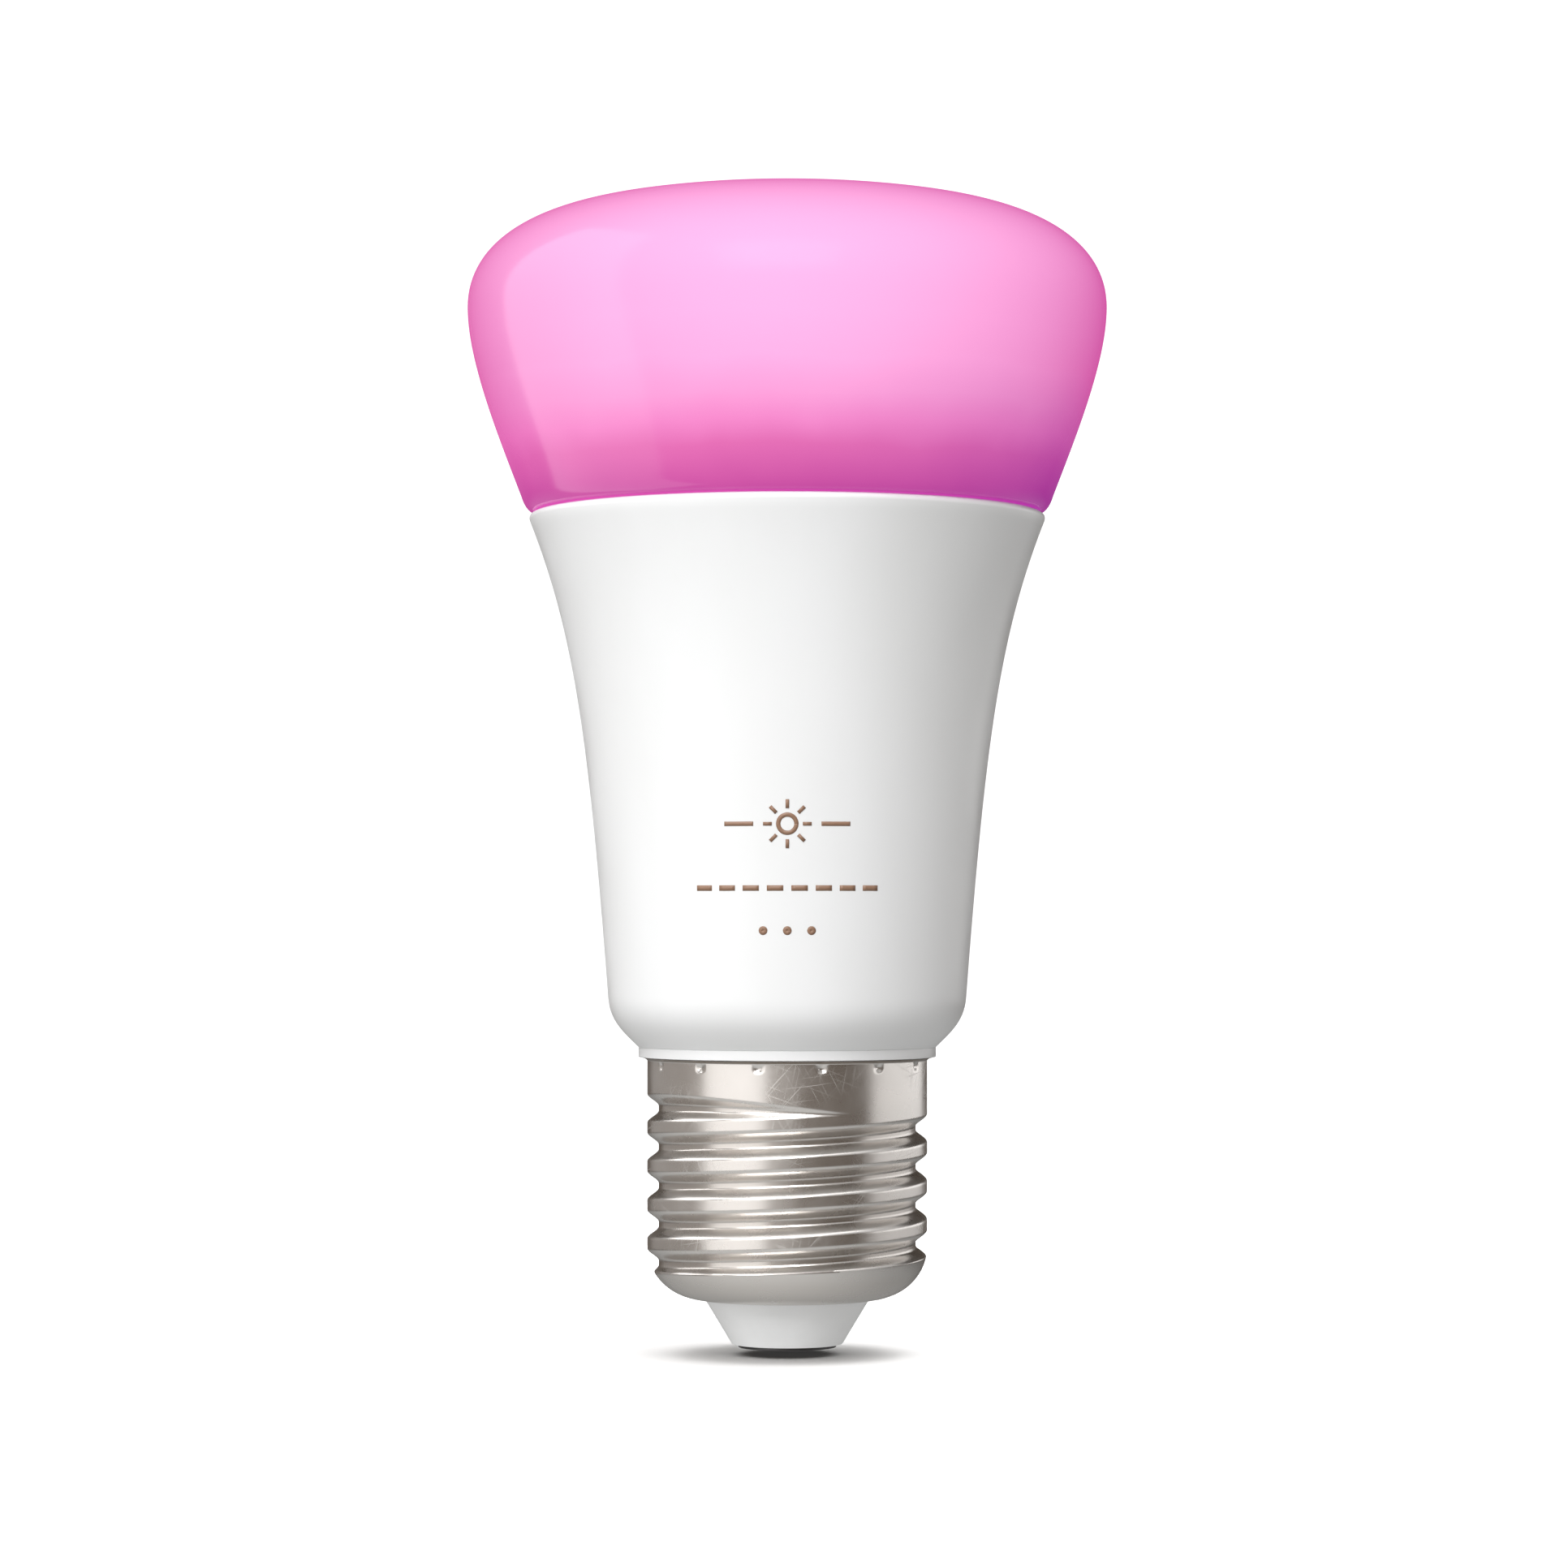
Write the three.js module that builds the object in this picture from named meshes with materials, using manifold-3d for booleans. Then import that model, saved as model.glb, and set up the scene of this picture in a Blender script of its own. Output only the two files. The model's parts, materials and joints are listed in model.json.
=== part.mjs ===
// A smart light bulb: a wide diffuser dome on a flared housing, carried by an E27 screw cap.
// Millimetres. The origin is the centre of the bottom face of the centre contact, +Z runs up the
// bulb's axis to the crown of the dome, and -Y is the front.

import * as THREE from "three";
import { mergeVertices } from "three/addons/utils/BufferGeometryUtils.js";
import Module from "manifold-3d";

const wasm = await Module();
wasm.setup();

// ---- Driving dimensions ------------------------------------------------------------------

const SKIN_SIDES = 40; // facets round the dome, the housing and what lies against them
const CAP_SIDES = 32; // facets round the pieces of the cap
const SMALL_SIDES = 16; // facets round a component
const GAP = 0.3; // between pieces that fit round one another
const SEAT = 0.1; // between a piece and the flat face it rests on

const CONTACT_RADIUS = 4.6;
const CONTACT_THICKNESS = 0.25;
const CONTACT_BEVEL = 0.12;
const STEM_RADIUS = 1.1;
const STEM_TOP = 8;

const CONE_BOTTOM_RADIUS = 5.2;
const CONE_TOP = 4.5;
const FLANGE_RADIUS = 9.3; // the part of the insulator caught inside the shell
const FLANGE_BOTTOM = 5.35;
const FLANGE_TOP = 6.8;
const INSULATOR_TOP = 7.6;

const PITCH = 3.62; // E27 thread, single start, right hand
const CREST_RADIUS = 13.15;
const THREAD_DEPTH = 1.08;
const GROOVE_HALF_WIDTH = 1.35;
const GROOVE_FLOOR_SHARE = 0.3; // of the half width, before the flank starts to rise
const GROOVE_END_ANGLE = THREE.MathUtils.degToRad(291); // where the groove runs out under the band
const GROOVE_END_EDGE = 22.2; // height of its lower edge there
const GROOVE_FADE_ANGLE = THREE.MathUtils.degToRad(100);

const SHEET = 0.3; // sheet metal of the screw shell
const THREAD_BOTTOM = 9; // where the rows of the mesh turn from the bowl to the thread
const THREAD_TOP = 24;
const BOWL_RADIUS = 4.85; // the round of the shell's closed end
const BOWL_CENTRE = new THREE.Vector2(8.1, 9.4);
const BAND_TOP = 26.85; // where the plain band flares into the rim
const RIM_RADIUS = 13.7;
const RIM_TOP = 27.3;

const COLLAR_RADIUS = 13.98;
const COLLAR_BOTTOM = 27.38;
const COLLAR_TOP = 28.05;
const SLEEVE_RADIUS = 12.5; // of the liner, above the thread
const NECK_RADIUS = 11.5; // of the liner, inside the thread
const NECK_TOP = 24.2;
const NECK_BOTTOM = 9.8;
const SLEEVE_TOP = 71;
const LINER_WALL = 0.9;
const RAIL_GRIP = 0.8; // how far the rails reach over the edges of the driver board
const RAIL_THICKNESS = 1;
const WIRE_SLOT_WIDTH = 1.6;
const WIRE_SLOT_TOP = 15.2;

const HOUSING_BOTTOM = new THREE.Vector2(14, 28.13);
const HOUSING_WAIST = new THREE.Vector2(16.84, 32.83);
const HOUSING_LIP = new THREE.Vector2(24.28, 77.68);
const HOUSING_TOP = 78.35;
const UNDERSIDE_HANDLES = [15.5, 29.58, 16.7, 30.63]; // of the curve from bottom to waist
const FLANK_HANDLES = [18.71, 57.19, 20.08, 67.03]; // of the curve from waist to lip
const LIP_HANDLE = [24.4, HOUSING_TOP];
const LIP_INNER_RADIUS = 23.4;
const HOUSING_WALL = 1.5;
const POCKET_RADIUS = 22.4; // the step inside the lip that takes the platform and the dome's skirt
const POCKET_FLOOR = 75.2;

const DOME_RIM = new THREE.Vector2(25.07, 79.93);
const DOME_WIDEST = new THREE.Vector2(30.14, 97.66);
const DOME_TOP = 108.84;
const CROWN_RADIUS = 103;
const CROWN_EDGE = 19.6; // radius at which the crown turns into the shoulder
const DOME_FLANK_HANDLES = [27.04, 85.11, DOME_WIDEST.x, 92.57];
const SHOULDER_RISE = 5.19; // length of the shoulder's handle above the widest point
const SHOULDER_REACH = 6; // length of its handle along the crown's tangent
const DOME_WALL = 1.2;
const UNDERSIDE_RADIUS = 23.7; // where the dome's flat underside starts to round up to the rim
const UNDERSIDE_HANDLE_RADIUS = 24.62;
const SEAM = 0.08; // between the dome's underside and the housing's lip
const SKIRT_RADIUS = 22;
const SKIRT_WALL = 1.1;

const PLATFORM_RADIUS = 22.1;
const PLATFORM_TOP = 76.4;
const PLATFORM_THICKNESS = 1.4;
const SPREADER_WALL = 1;
const PAD_THICKNESS = 0.4;
const LED_BOARD_RADIUS = 20.2;
const LED_BOARD_THICKNESS = 1.2;
const LED_SIZE = 3;
const LED_HEIGHT = 0.7;
const LED_CIRCLE = 15; // radius of the ring of LEDs
const LED_RIM = 0.4; // wall round the light-giving well
const LED_WELL_DEPTH = 0.25;

const SCREW_X = 10;
const SCREW_RADIUS = 1.2;
const SCREW_HEAD_RADIUS = 2.2;
const SCREW_HEAD_HEIGHT = 1.3;
const SCREW_BOTTOM = 72.9;
const BOSS_RADIUS = 2.6;
const BOSS_BOTTOM = 72.6;

const BOARD_THICKNESS = 1.2;
const BOARD_HALF_WIDTH = 11;
const BOARD_TAIL_HALF_WIDTH = 9;
const BOARD_BOTTOM = 11.5;
const BOARD_SHOULDER = 30; // the board is full width above this
const BOARD_TOP = 66.5;
const RADIO_BOARD_THICKNESS = 0.8;
const RADIO_BOARD_FRONT = 3.4; // its front face, behind the driver board
const RADIO_BOARD_HALF_WIDTH = 6.5;
const RADIO_BOARD_BOTTOM = 56.5;
const RADIO_BOARD_TOP = 88;

const HEADER_Y = -1.9;
const PIN_PITCH = 2;
const PIN_COUNT = 4;
const PIN_WIDTH = 0.5;
const PIN_TOP = 80.4;
const SOCKET_HEIGHT = 2.6;

const CHIP_HEIGHT = 1.3;
const CHIP_STANDOFF = 0.2; // the body's height over the board
const LEG_WIDTH = 0.4;
const LEG_THICKNESS = 0.5;
const LEG_REACH = 0.8; // how far the legs stand out of the body

const WIRE_SIDES = 8;
const WIRE_STEPS = 12;

// ---- Worked out from them ----------------------------------------------------------------

const PLATFORM_BOTTOM = PLATFORM_TOP - PLATFORM_THICKNESS;
const PAD_BOTTOM = PLATFORM_TOP + SEAT;
const LED_BOARD_BOTTOM = PAD_BOTTOM + PAD_THICKNESS + SEAT;
const LED_BOARD_TOP = LED_BOARD_BOTTOM + LED_BOARD_THICKNESS;
const FRONT = -BOARD_THICKNESS / 2 - SEAT; // what stands on the board's front ends at this y
const BACK = BOARD_THICKNESS / 2 + SEAT;
const RADIO_BOARD_BACK = RADIO_BOARD_FRONT + RADIO_BOARD_THICKNESS;

// ---- Geometry helpers --------------------------------------------------------------------

// Any closed three.js geometry as a solid, with the slivers at a lathe's poles dropped.
function solid(geometry) {
  const bare = geometry.index ? geometry.toNonIndexed() : geometry.clone();
  bare.deleteAttribute("normal");
  bare.deleteAttribute("uv");
  const merged = mergeVertices(bare, 1e-4);
  const corners = merged.index.array;
  const kept = [];
  for (let i = 0; i < corners.length; i += 3) {
    const [a, b, c] = corners.subarray(i, i + 3);
    if (a !== b && b !== c && c !== a) kept.push(a, b, c);
  }
  const mesh = new wasm.Mesh({
    numProp: 3,
    vertProperties: merged.attributes.position.array,
    triVerts: new Uint32Array(kept),
  });
  return new wasm.Manifold(mesh);
}

function geometryOf(manifold) {
  const mesh = manifold.getMesh();
  return new THREE.BufferGeometry()
    .setAttribute("position", new THREE.BufferAttribute(mesh.vertProperties, 3))
    .setIndex(new THREE.BufferAttribute(mesh.triVerts, 1))
    .toNonIndexed();
}

function joined(first, ...others) {
  return geometryOf(others.reduce((sum, other) => sum.add(solid(other)), solid(first)));
}

function cut(body, ...tools) {
  return geometryOf(tools.reduce((rest, tool) => rest.subtract(solid(tool)), solid(body)));
}

// A box between two corners.
function box(low, high) {
  const size = high.map((value, i) => value - low[i]);
  const centre = high.map((value, i) => (value + low[i]) / 2);
  return new THREE.BoxGeometry(...size).translate(...centre);
}

// A profile of [radius, height] points turned round the Z axis. It starts and ends on the axis or
// closes on itself, and runs down the outside and up the inside.
function revolve(profile, sides = SKIN_SIDES) {
  const points = profile.map(([radius, height]) => new THREE.Vector2(radius, height));
  return new THREE.LatheGeometry(points.reverse(), sides).rotateX(Math.PI / 2);
}

function disc(radius, bottom, top, sides = SKIN_SIDES) {
  const profile = [[0, top], [radius, top], [radius, bottom], [0, bottom]];
  return revolve(profile, sides);
}

function tube(inner, outer, bottom, top, sides = SKIN_SIDES) {
  const profile = [[outer, top], [outer, bottom], [inner, bottom], [inner, top], [outer, top]];
  return revolve(profile, sides);
}

// A round bar standing at x, y.
function post(radius, x, y, bottom, top, sides = SMALL_SIDES) {
  return disc(radius, bottom, top, sides).translate(x, y, 0);
}

// Each point moved square to the line through its neighbours, towards the side on its right.
function inset(points, distance) {
  return points.map(([radius, height], i) => {
    const before = points[Math.max(i - 1, 0)];
    const after = points[Math.min(i + 1, points.length - 1)];
    const along = new THREE.Vector2(after[0] - before[0], after[1] - before[1]).normalize();
    return [radius + along.y * distance, height - along.x * distance];
  });
}

function pointsOf(path, divisions) {
  return path.getPoints(divisions).map((point) => [point.x, point.y]);
}

// A round wire through the given points.
function wire(points, radius) {
  const route = new THREE.CatmullRomCurve3(points.map((point) => new THREE.Vector3(...point)));
  const corners = [];
  for (let i = 0; i < WIRE_SIDES; i += 1) {
    const angle = (2 * Math.PI * i) / WIRE_SIDES;
    corners.push(new THREE.Vector2(radius * Math.cos(angle), radius * Math.sin(angle)));
  }
  const section = new THREE.Shape(corners);
  const settings = { steps: WIRE_STEPS, extrudePath: route, bevelEnabled: false };
  return new THREE.ExtrudeGeometry(section, settings);
}

// ---- The cap -----------------------------------------------------------------------------

// How wide the groove is, as a share of its full width, at an angle short of its run-out.
function grooveShare(angleToEnd) {
  const share = THREE.MathUtils.clamp(angleToEnd / GROOVE_FADE_ANGLE, 0, 1);
  return Math.sin((share * Math.PI) / 2);
}

// Outside radius of the threaded sheet at an angle and a height. The groove is followed from its
// run-out under the band down through every turn, its lower edge on one helix.
function threadRadius(angle, height) {
  let radius = CREST_RADIUS;
  const turnsToEnd = (GROOVE_END_ANGLE - angle) / (2 * Math.PI);
  const firstTurn = Math.ceil(-turnsToEnd);
  for (let turn = firstTurn; turn < firstTurn + 6; turn += 1) {
    const turnsBack = turnsToEnd + turn;
    const share = grooveShare(turnsBack * 2 * Math.PI);
    if (share === 0) continue;
    const halfWidth = GROOVE_HALF_WIDTH * share;
    const middle = GROOVE_END_EDGE - turnsBack * PITCH + halfWidth;
    const fromMiddle = Math.abs(height - middle) / halfWidth;
    const rise = THREE.MathUtils.smoothstep(fromMiddle, GROOVE_FLOOR_SHARE, 1);
    radius = Math.min(radius, CREST_RADIUS - THREAD_DEPTH * share * (1 - rise));
  }
  return radius;
}

// One side of the sheet at an angle, from the opening at the bottom up to the rim. The inner side
// lies a sheet's thickness in from the outer one.
function sheetSide(angle, thickness) {
  const points = [];
  const round = BOWL_RADIUS - thickness;
  const bowlSteps = 5;
  for (let i = 0; i <= bowlSteps; i += 1) {
    const tilt = THREE.MathUtils.degToRad(THREE.MathUtils.lerp(-90, -10, i / bowlSteps));
    const height = BOWL_CENTRE.y + round * Math.sin(tilt);
    const bowl = BOWL_CENTRE.x + round * Math.cos(tilt);
    points.push([Math.min(bowl, threadRadius(angle, height) - thickness), height]);
  }
  const threadSteps = 30;
  for (let i = 0; i <= threadSteps; i += 1) {
    const height = THREE.MathUtils.lerp(THREAD_BOTTOM, THREAD_TOP, i / threadSteps);
    points.push([threadRadius(angle, height) - thickness, height]);
  }
  points.push([CREST_RADIUS - thickness, BAND_TOP]);
  points.push([RIM_RADIUS - thickness, RIM_TOP]);
  return points;
}

function screwShell() {
  const loops = [];
  for (let i = 0; i < CAP_SIDES; i += 1) {
    const angle = (2 * Math.PI * i) / CAP_SIDES;
    const loop = [...sheetSide(angle, 0), ...sheetSide(angle, SHEET).reverse()];
    loops.push(loop.map(([r, z]) => [r * Math.cos(angle), r * Math.sin(angle), z]));
  }
  const positions = loops.flat(2);
  const count = loops[0].length;
  const corners = [];
  for (let i = 0; i < CAP_SIDES; i += 1) {
    const next = (i + 1) % CAP_SIDES;
    for (let j = 0; j < count; j += 1) {
      const above = (j + 1) % count;
      const [a, b] = [i * count + j, next * count + j];
      const [c, d] = [next * count + above, i * count + above];
      corners.push(a, b, c, a, c, d);
    }
  }
  return new THREE.BufferGeometry()
    .setAttribute("position", new THREE.Float32BufferAttribute(positions, 3))
    .setIndex(corners);
}

// The pale cone that insulates the contact, with a flange caught inside the shell's round end.
function capInsulator() {
  const bore = STEM_RADIUS + GAP;
  const bottom = CONTACT_THICKNESS + SEAT / 2;
  const edge = 0.2; // the broken edge at the foot of the cone
  const plug = BOWL_CENTRE.x - GAP - 0.05;
  return revolve([
    [bore, INSULATOR_TOP], [2 * bore, INSULATOR_TOP], [FLANGE_RADIUS, FLANGE_TOP],
    [FLANGE_RADIUS, FLANGE_BOTTOM], [plug, FLANGE_BOTTOM], [plug, CONE_TOP],
    [CONE_BOTTOM_RADIUS, bottom + edge], [CONE_BOTTOM_RADIUS - edge, bottom],
    [bore, bottom], [bore, INSULATOR_TOP],
  ], CAP_SIDES);
}

function centreContact() {
  return revolve([
    [0, STEM_TOP], [STEM_RADIUS, STEM_TOP], [STEM_RADIUS, CONTACT_THICKNESS],
    [CONTACT_RADIUS, CONTACT_THICKNESS], [CONTACT_RADIUS, CONTACT_BEVEL],
    [CONTACT_RADIUS - CONTACT_BEVEL, 0], [0, 0],
  ], CAP_SIDES);
}

// ---- Liner and housing -------------------------------------------------------------------

// The plastic sleeve round the driver: neck inside the thread, collar over the cap, and slots that
// hold the driver board by its edges.
function insulatingLiner() {
  const sleeveBore = SLEEVE_RADIUS - LINER_WALL;
  const neckBore = NECK_RADIUS - LINER_WALL;
  const body = revolve([
    [SLEEVE_RADIUS, SLEEVE_TOP], [SLEEVE_RADIUS, COLLAR_TOP], [COLLAR_RADIUS, COLLAR_TOP],
    [COLLAR_RADIUS, COLLAR_BOTTOM], [SLEEVE_RADIUS, COLLAR_BOTTOM], [SLEEVE_RADIUS, NECK_TOP],
    [NECK_RADIUS, NECK_TOP], [NECK_RADIUS, NECK_BOTTOM], [neckBore, NECK_BOTTOM],
    [neckBore, NECK_TOP + LINER_WALL], [sleeveBore, NECK_TOP + LINER_WALL],
    [sleeveBore, SLEEVE_TOP], [SLEEVE_RADIUS, SLEEVE_TOP],
  ]);
  const rails = [];
  const near = BOARD_THICKNESS / 2 + GAP;
  for (const side of [-1, 1]) {
    for (const face of [-1, 1]) {
      const x = [side * (BOARD_HALF_WIDTH - RAIL_GRIP), side * (sleeveBore + LINER_WALL / 2)];
      const y = [face * near, face * (near + RAIL_THICKNESS)];
      const low = [Math.min(...x), Math.min(...y), BOARD_SHOULDER + 1];
      const high = [Math.max(...x), Math.max(...y), BOARD_TOP - 1];
      rails.push(box(low, high));
    }
  }
  const wireSlot = box(
    [-NECK_RADIUS - 1, -WIRE_SLOT_WIDTH / 2, NECK_BOTTOM - 1],
    [-neckBore + 1, WIRE_SLOT_WIDTH / 2, WIRE_SLOT_TOP],
  );
  return cut(joined(body, ...rails), wireSlot);
}

function housingFlank() {
  return new THREE.Path()
    .moveTo(HOUSING_WAIST.x, HOUSING_WAIST.y)
    .bezierCurveTo(...FLANK_HANDLES, HOUSING_LIP.x, HOUSING_LIP.y);
}

// The housing flank moved in by a distance, as points up to a height.
function insideFlank(distance, top) {
  const points = inset(pointsOf(housingFlank(), 6), -distance);
  const below = points.filter(([, height]) => height < top - 1);
  const [last, first] = [points[below.length - 1], points[below.length]];
  const share = (top - last[1]) / (first[1] - last[1]);
  return [...below, [THREE.MathUtils.lerp(last[0], first[0], share), top]];
}

function housing() {
  const underside = new THREE.Path()
    .moveTo(HOUSING_BOTTOM.x, HOUSING_BOTTOM.y)
    .bezierCurveTo(...UNDERSIDE_HANDLES, HOUSING_WAIST.x, HOUSING_WAIST.y);
  const lip = new THREE.Path()
    .moveTo(HOUSING_LIP.x, HOUSING_LIP.y)
    .quadraticCurveTo(...LIP_HANDLE, LIP_INNER_RADIUS, HOUSING_TOP);
  const outside = [
    ...pointsOf(underside, 4),
    ...pointsOf(housingFlank(), 8).slice(1, -1),
    ...pointsOf(lip, 3),
  ];
  const inside = insideFlank(HOUSING_WALL, POCKET_FLOOR);
  const hole = SLEEVE_RADIUS + GAP;
  const floor = HOUSING_BOTTOM.y + HOUSING_WALL;
  return revolve([
    [POCKET_RADIUS, HOUSING_TOP], ...outside.reverse(), [hole, HOUSING_BOTTOM.y], [hole, floor],
    [HOUSING_BOTTOM.x, floor + 0.4], ...inside, [POCKET_RADIUS, POCKET_FLOOR],
    [POCKET_RADIUS, HOUSING_TOP],
  ]);
}

// The holes that screws, pins and the radio board pass through, from one height to another.
function platformHoles(bottom, top) {
  const screwHole = SCREW_RADIUS + GAP;
  const pinsHalf = (PIN_COUNT * PIN_PITCH) / 2 + GAP;
  const pinsRoom = PIN_WIDTH / 2 + 2 * GAP;
  const radioHalf = RADIO_BOARD_HALF_WIDTH + GAP;
  return [
    post(screwHole, -SCREW_X, 0, bottom, top),
    post(screwHole, SCREW_X, 0, bottom, top),
    box([-pinsHalf, HEADER_Y - pinsRoom, bottom], [pinsHalf, HEADER_Y + pinsRoom, top]),
    box([-radioHalf, RADIO_BOARD_FRONT - GAP, bottom], [radioHalf, RADIO_BOARD_BACK + GAP, top]),
  ];
}

// The aluminium cup inside the housing, closed above by the platform that carries the LED board.
function heatSpreader() {
  const seat = POCKET_FLOOR + SEAT;
  const outside = insideFlank(HOUSING_WALL + GAP, seat - GAP);
  const inside = insideFlank(HOUSING_WALL + GAP + SPREADER_WALL, PLATFORM_BOTTOM);
  const cup = revolve([
    [0, PLATFORM_TOP], [PLATFORM_RADIUS, PLATFORM_TOP], [PLATFORM_RADIUS, seat],
    [outside.at(-1)[0], seat], ...outside.reverse(), ...inside, [0, PLATFORM_BOTTOM],
  ]);
  const bossTop = PLATFORM_TOP - PLATFORM_THICKNESS / 2;
  const bosses = [-SCREW_X, SCREW_X].map((x) => post(BOSS_RADIUS, x, 0, BOSS_BOTTOM, bossTop));
  return cut(joined(cup, ...bosses), ...platformHoles(BOSS_BOTTOM - 1, PLATFORM_TOP + 1));
}

function thermalPad() {
  const top = PAD_BOTTOM + PAD_THICKNESS;
  const pad = disc(LED_BOARD_RADIUS - GAP, PAD_BOTTOM, top);
  return cut(pad, ...platformHoles(PAD_BOTTOM - 1, top + 1));
}

// ---- Dome --------------------------------------------------------------------------------

// The dome's outer line from the rim up to the crown, each of its curves in a number of steps.
function domeLine(flankSteps, shoulderSteps, crownSteps) {
  const crownCentre = DOME_TOP - CROWN_RADIUS;
  const edgeAngle = Math.asin(CROWN_EDGE / CROWN_RADIUS);
  const edgeHeight = crownCentre + CROWN_RADIUS * Math.cos(edgeAngle);
  const flank = new THREE.Path()
    .moveTo(DOME_RIM.x, DOME_RIM.y)
    .bezierCurveTo(...DOME_FLANK_HANDLES, DOME_WIDEST.x, DOME_WIDEST.y);
  const shoulder = new THREE.Path()
    .moveTo(DOME_WIDEST.x, DOME_WIDEST.y)
    .bezierCurveTo(
      DOME_WIDEST.x, DOME_WIDEST.y + SHOULDER_RISE,
      CROWN_EDGE + SHOULDER_REACH * Math.cos(edgeAngle),
      edgeHeight - SHOULDER_REACH * Math.sin(edgeAngle),
      CROWN_EDGE, edgeHeight,
    );
  const crown = [];
  for (let i = crownSteps - 1; i > 0; i -= 1) {
    const angle = (edgeAngle * i) / crownSteps;
    crown.push([CROWN_RADIUS * Math.sin(angle), crownCentre + CROWN_RADIUS * Math.cos(angle)]);
  }
  return [
    ...pointsOf(flank, flankSteps),
    ...pointsOf(shoulder, shoulderSteps).slice(1),
    ...crown,
  ];
}

function diffuserDome() {
  const outside = domeLine(5, 8, 4);
  const inside = inset(domeLine(4, 6, 3), -DOME_WALL);
  const underside = HOUSING_TOP + SEAM;
  const skirtBottom = LED_BOARD_BOTTOM + 0.4;
  const skirtBore = SKIRT_RADIUS - SKIRT_WALL;
  const rim = new THREE.Path()
    .moveTo(UNDERSIDE_RADIUS, underside)
    .quadraticCurveTo(UNDERSIDE_HANDLE_RADIUS, underside, DOME_RIM.x, DOME_RIM.y);
  return revolve([
    [0, DOME_TOP], ...outside.reverse().slice(0, -1), ...pointsOf(rim, 3).reverse(),
    [SKIRT_RADIUS, underside], [SKIRT_RADIUS, skirtBottom], [skirtBore, skirtBottom],
    [skirtBore, underside + DOME_WALL / 2], ...inside, [0, DOME_TOP - DOME_WALL],
  ]);
}

// The bead between the bottom of the dome's skirt and the platform.
function domeSealant() {
  const bottom = PLATFORM_TOP + SEAT;
  return tube(SKIRT_RADIUS - SKIRT_WALL, SKIRT_RADIUS, bottom, LED_BOARD_BOTTOM + GAP);
}

// ---- LED board ---------------------------------------------------------------------------

function ledBoard() {
  const board = disc(LED_BOARD_RADIUS, LED_BOARD_BOTTOM, LED_BOARD_TOP);
  return cut(board, ...platformHoles(LED_BOARD_BOTTOM - 1, LED_BOARD_TOP + 1));
}

// An LED package on the ring, turned to face outwards, its light-giving well sunk in the top.
function led(angle) {
  const half = LED_SIZE / 2;
  const well = half - LED_RIM;
  const floor = LED_HEIGHT - LED_WELL_DEPTH;
  const body = box([-half, -half, 0], [half, half, LED_HEIGHT]);
  const hollow = box([-well, -well, floor], [well, well, LED_HEIGHT + 1]);
  return cut(body, hollow)
    .translate(LED_CIRCLE, 0, 0)
    .rotateZ(angle)
    .translate(0, 0, LED_BOARD_TOP + SEAT);
}

function ledSocket() {
  const wall = 1;
  const bottom = LED_BOARD_TOP + SEAT;
  const top = bottom + SOCKET_HEIGHT;
  const slotHalf = [(PIN_COUNT * PIN_PITCH) / 2, PIN_WIDTH / 2 + GAP];
  const body = box(
    [-slotHalf[0] - wall, HEADER_Y - slotHalf[1] - wall, bottom],
    [slotHalf[0] + wall, HEADER_Y + slotHalf[1] + wall, top],
  );
  const slot = box(
    [-slotHalf[0], HEADER_Y - slotHalf[1], bottom - 1],
    [slotHalf[0], HEADER_Y + slotHalf[1], top + 1],
  );
  return cut(body, slot);
}

// A pan-head screw with a cross recess.
function boardScrew(x) {
  const headBottom = LED_BOARD_TOP + SEAT;
  const headTop = headBottom + SCREW_HEAD_HEIGHT;
  const edge = 0.4;
  const screw = revolve([
    [0, headTop], [SCREW_HEAD_RADIUS - edge, headTop], [SCREW_HEAD_RADIUS, headTop - edge],
    [SCREW_HEAD_RADIUS, headBottom], [SCREW_RADIUS, headBottom],
    [SCREW_RADIUS, SCREW_BOTTOM + edge], [0, SCREW_BOTTOM],
  ], SMALL_SIDES);
  const [long, short, depth] = [1.4, 0.3, 0.6];
  const recess = [
    box([-long, -short, headTop - depth], [long, short, headTop + 1]),
    box([-short, -long, headTop - depth], [short, long, headTop + 1]),
  ];
  return cut(screw, ...recess).translate(x, 0, 0);
}

// ---- Driver ------------------------------------------------------------------------------

function driverBoard() {
  const half = BOARD_THICKNESS / 2;
  const tail = box(
    [-BOARD_TAIL_HALF_WIDTH, -half, BOARD_BOTTOM],
    [BOARD_TAIL_HALF_WIDTH, half, BOARD_SHOULDER + 1],
  );
  const body = box([-BOARD_HALF_WIDTH, -half, BOARD_SHOULDER], [BOARD_HALF_WIDTH, half, BOARD_TOP]);
  return joined(body, tail);
}

// A can with a groove pressed round its foot, such as an electrolytic capacitor.
function can(radius, x, y, bottom, top) {
  const bead = 0.3;
  const groove = bottom + 1.6;
  return revolve([
    [0, top], [radius - bead, top], [radius, top - bead], [radius, groove + bead],
    [radius - bead, groove], [radius, groove - bead], [radius, bottom + bead],
    [radius - bead, bottom], [0, bottom],
  ], SMALL_SIDES).translate(x, y, 0);
}

// A choke on a ferrite drum, its winding filling the waist.
function drum(radius, x, y, bottom, top) {
  const flange = 0.9;
  const waist = radius - 0.5;
  return revolve([
    [0, top], [radius, top], [radius, top - flange], [waist, top - flange],
    [waist, bottom + flange], [radius, bottom + flange], [radius, bottom], [0, bottom],
  ], SMALL_SIDES).translate(x, y, 0);
}

// A round body with rounded ends, standing on z = 0.
function coatedBody(radius, height) {
  const edge = 0.5;
  return revolve([
    [0, height], [radius - edge, height], [radius, height - edge], [radius, edge],
    [radius - edge, 0], [0, 0],
  ], SMALL_SIDES);
}

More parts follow.
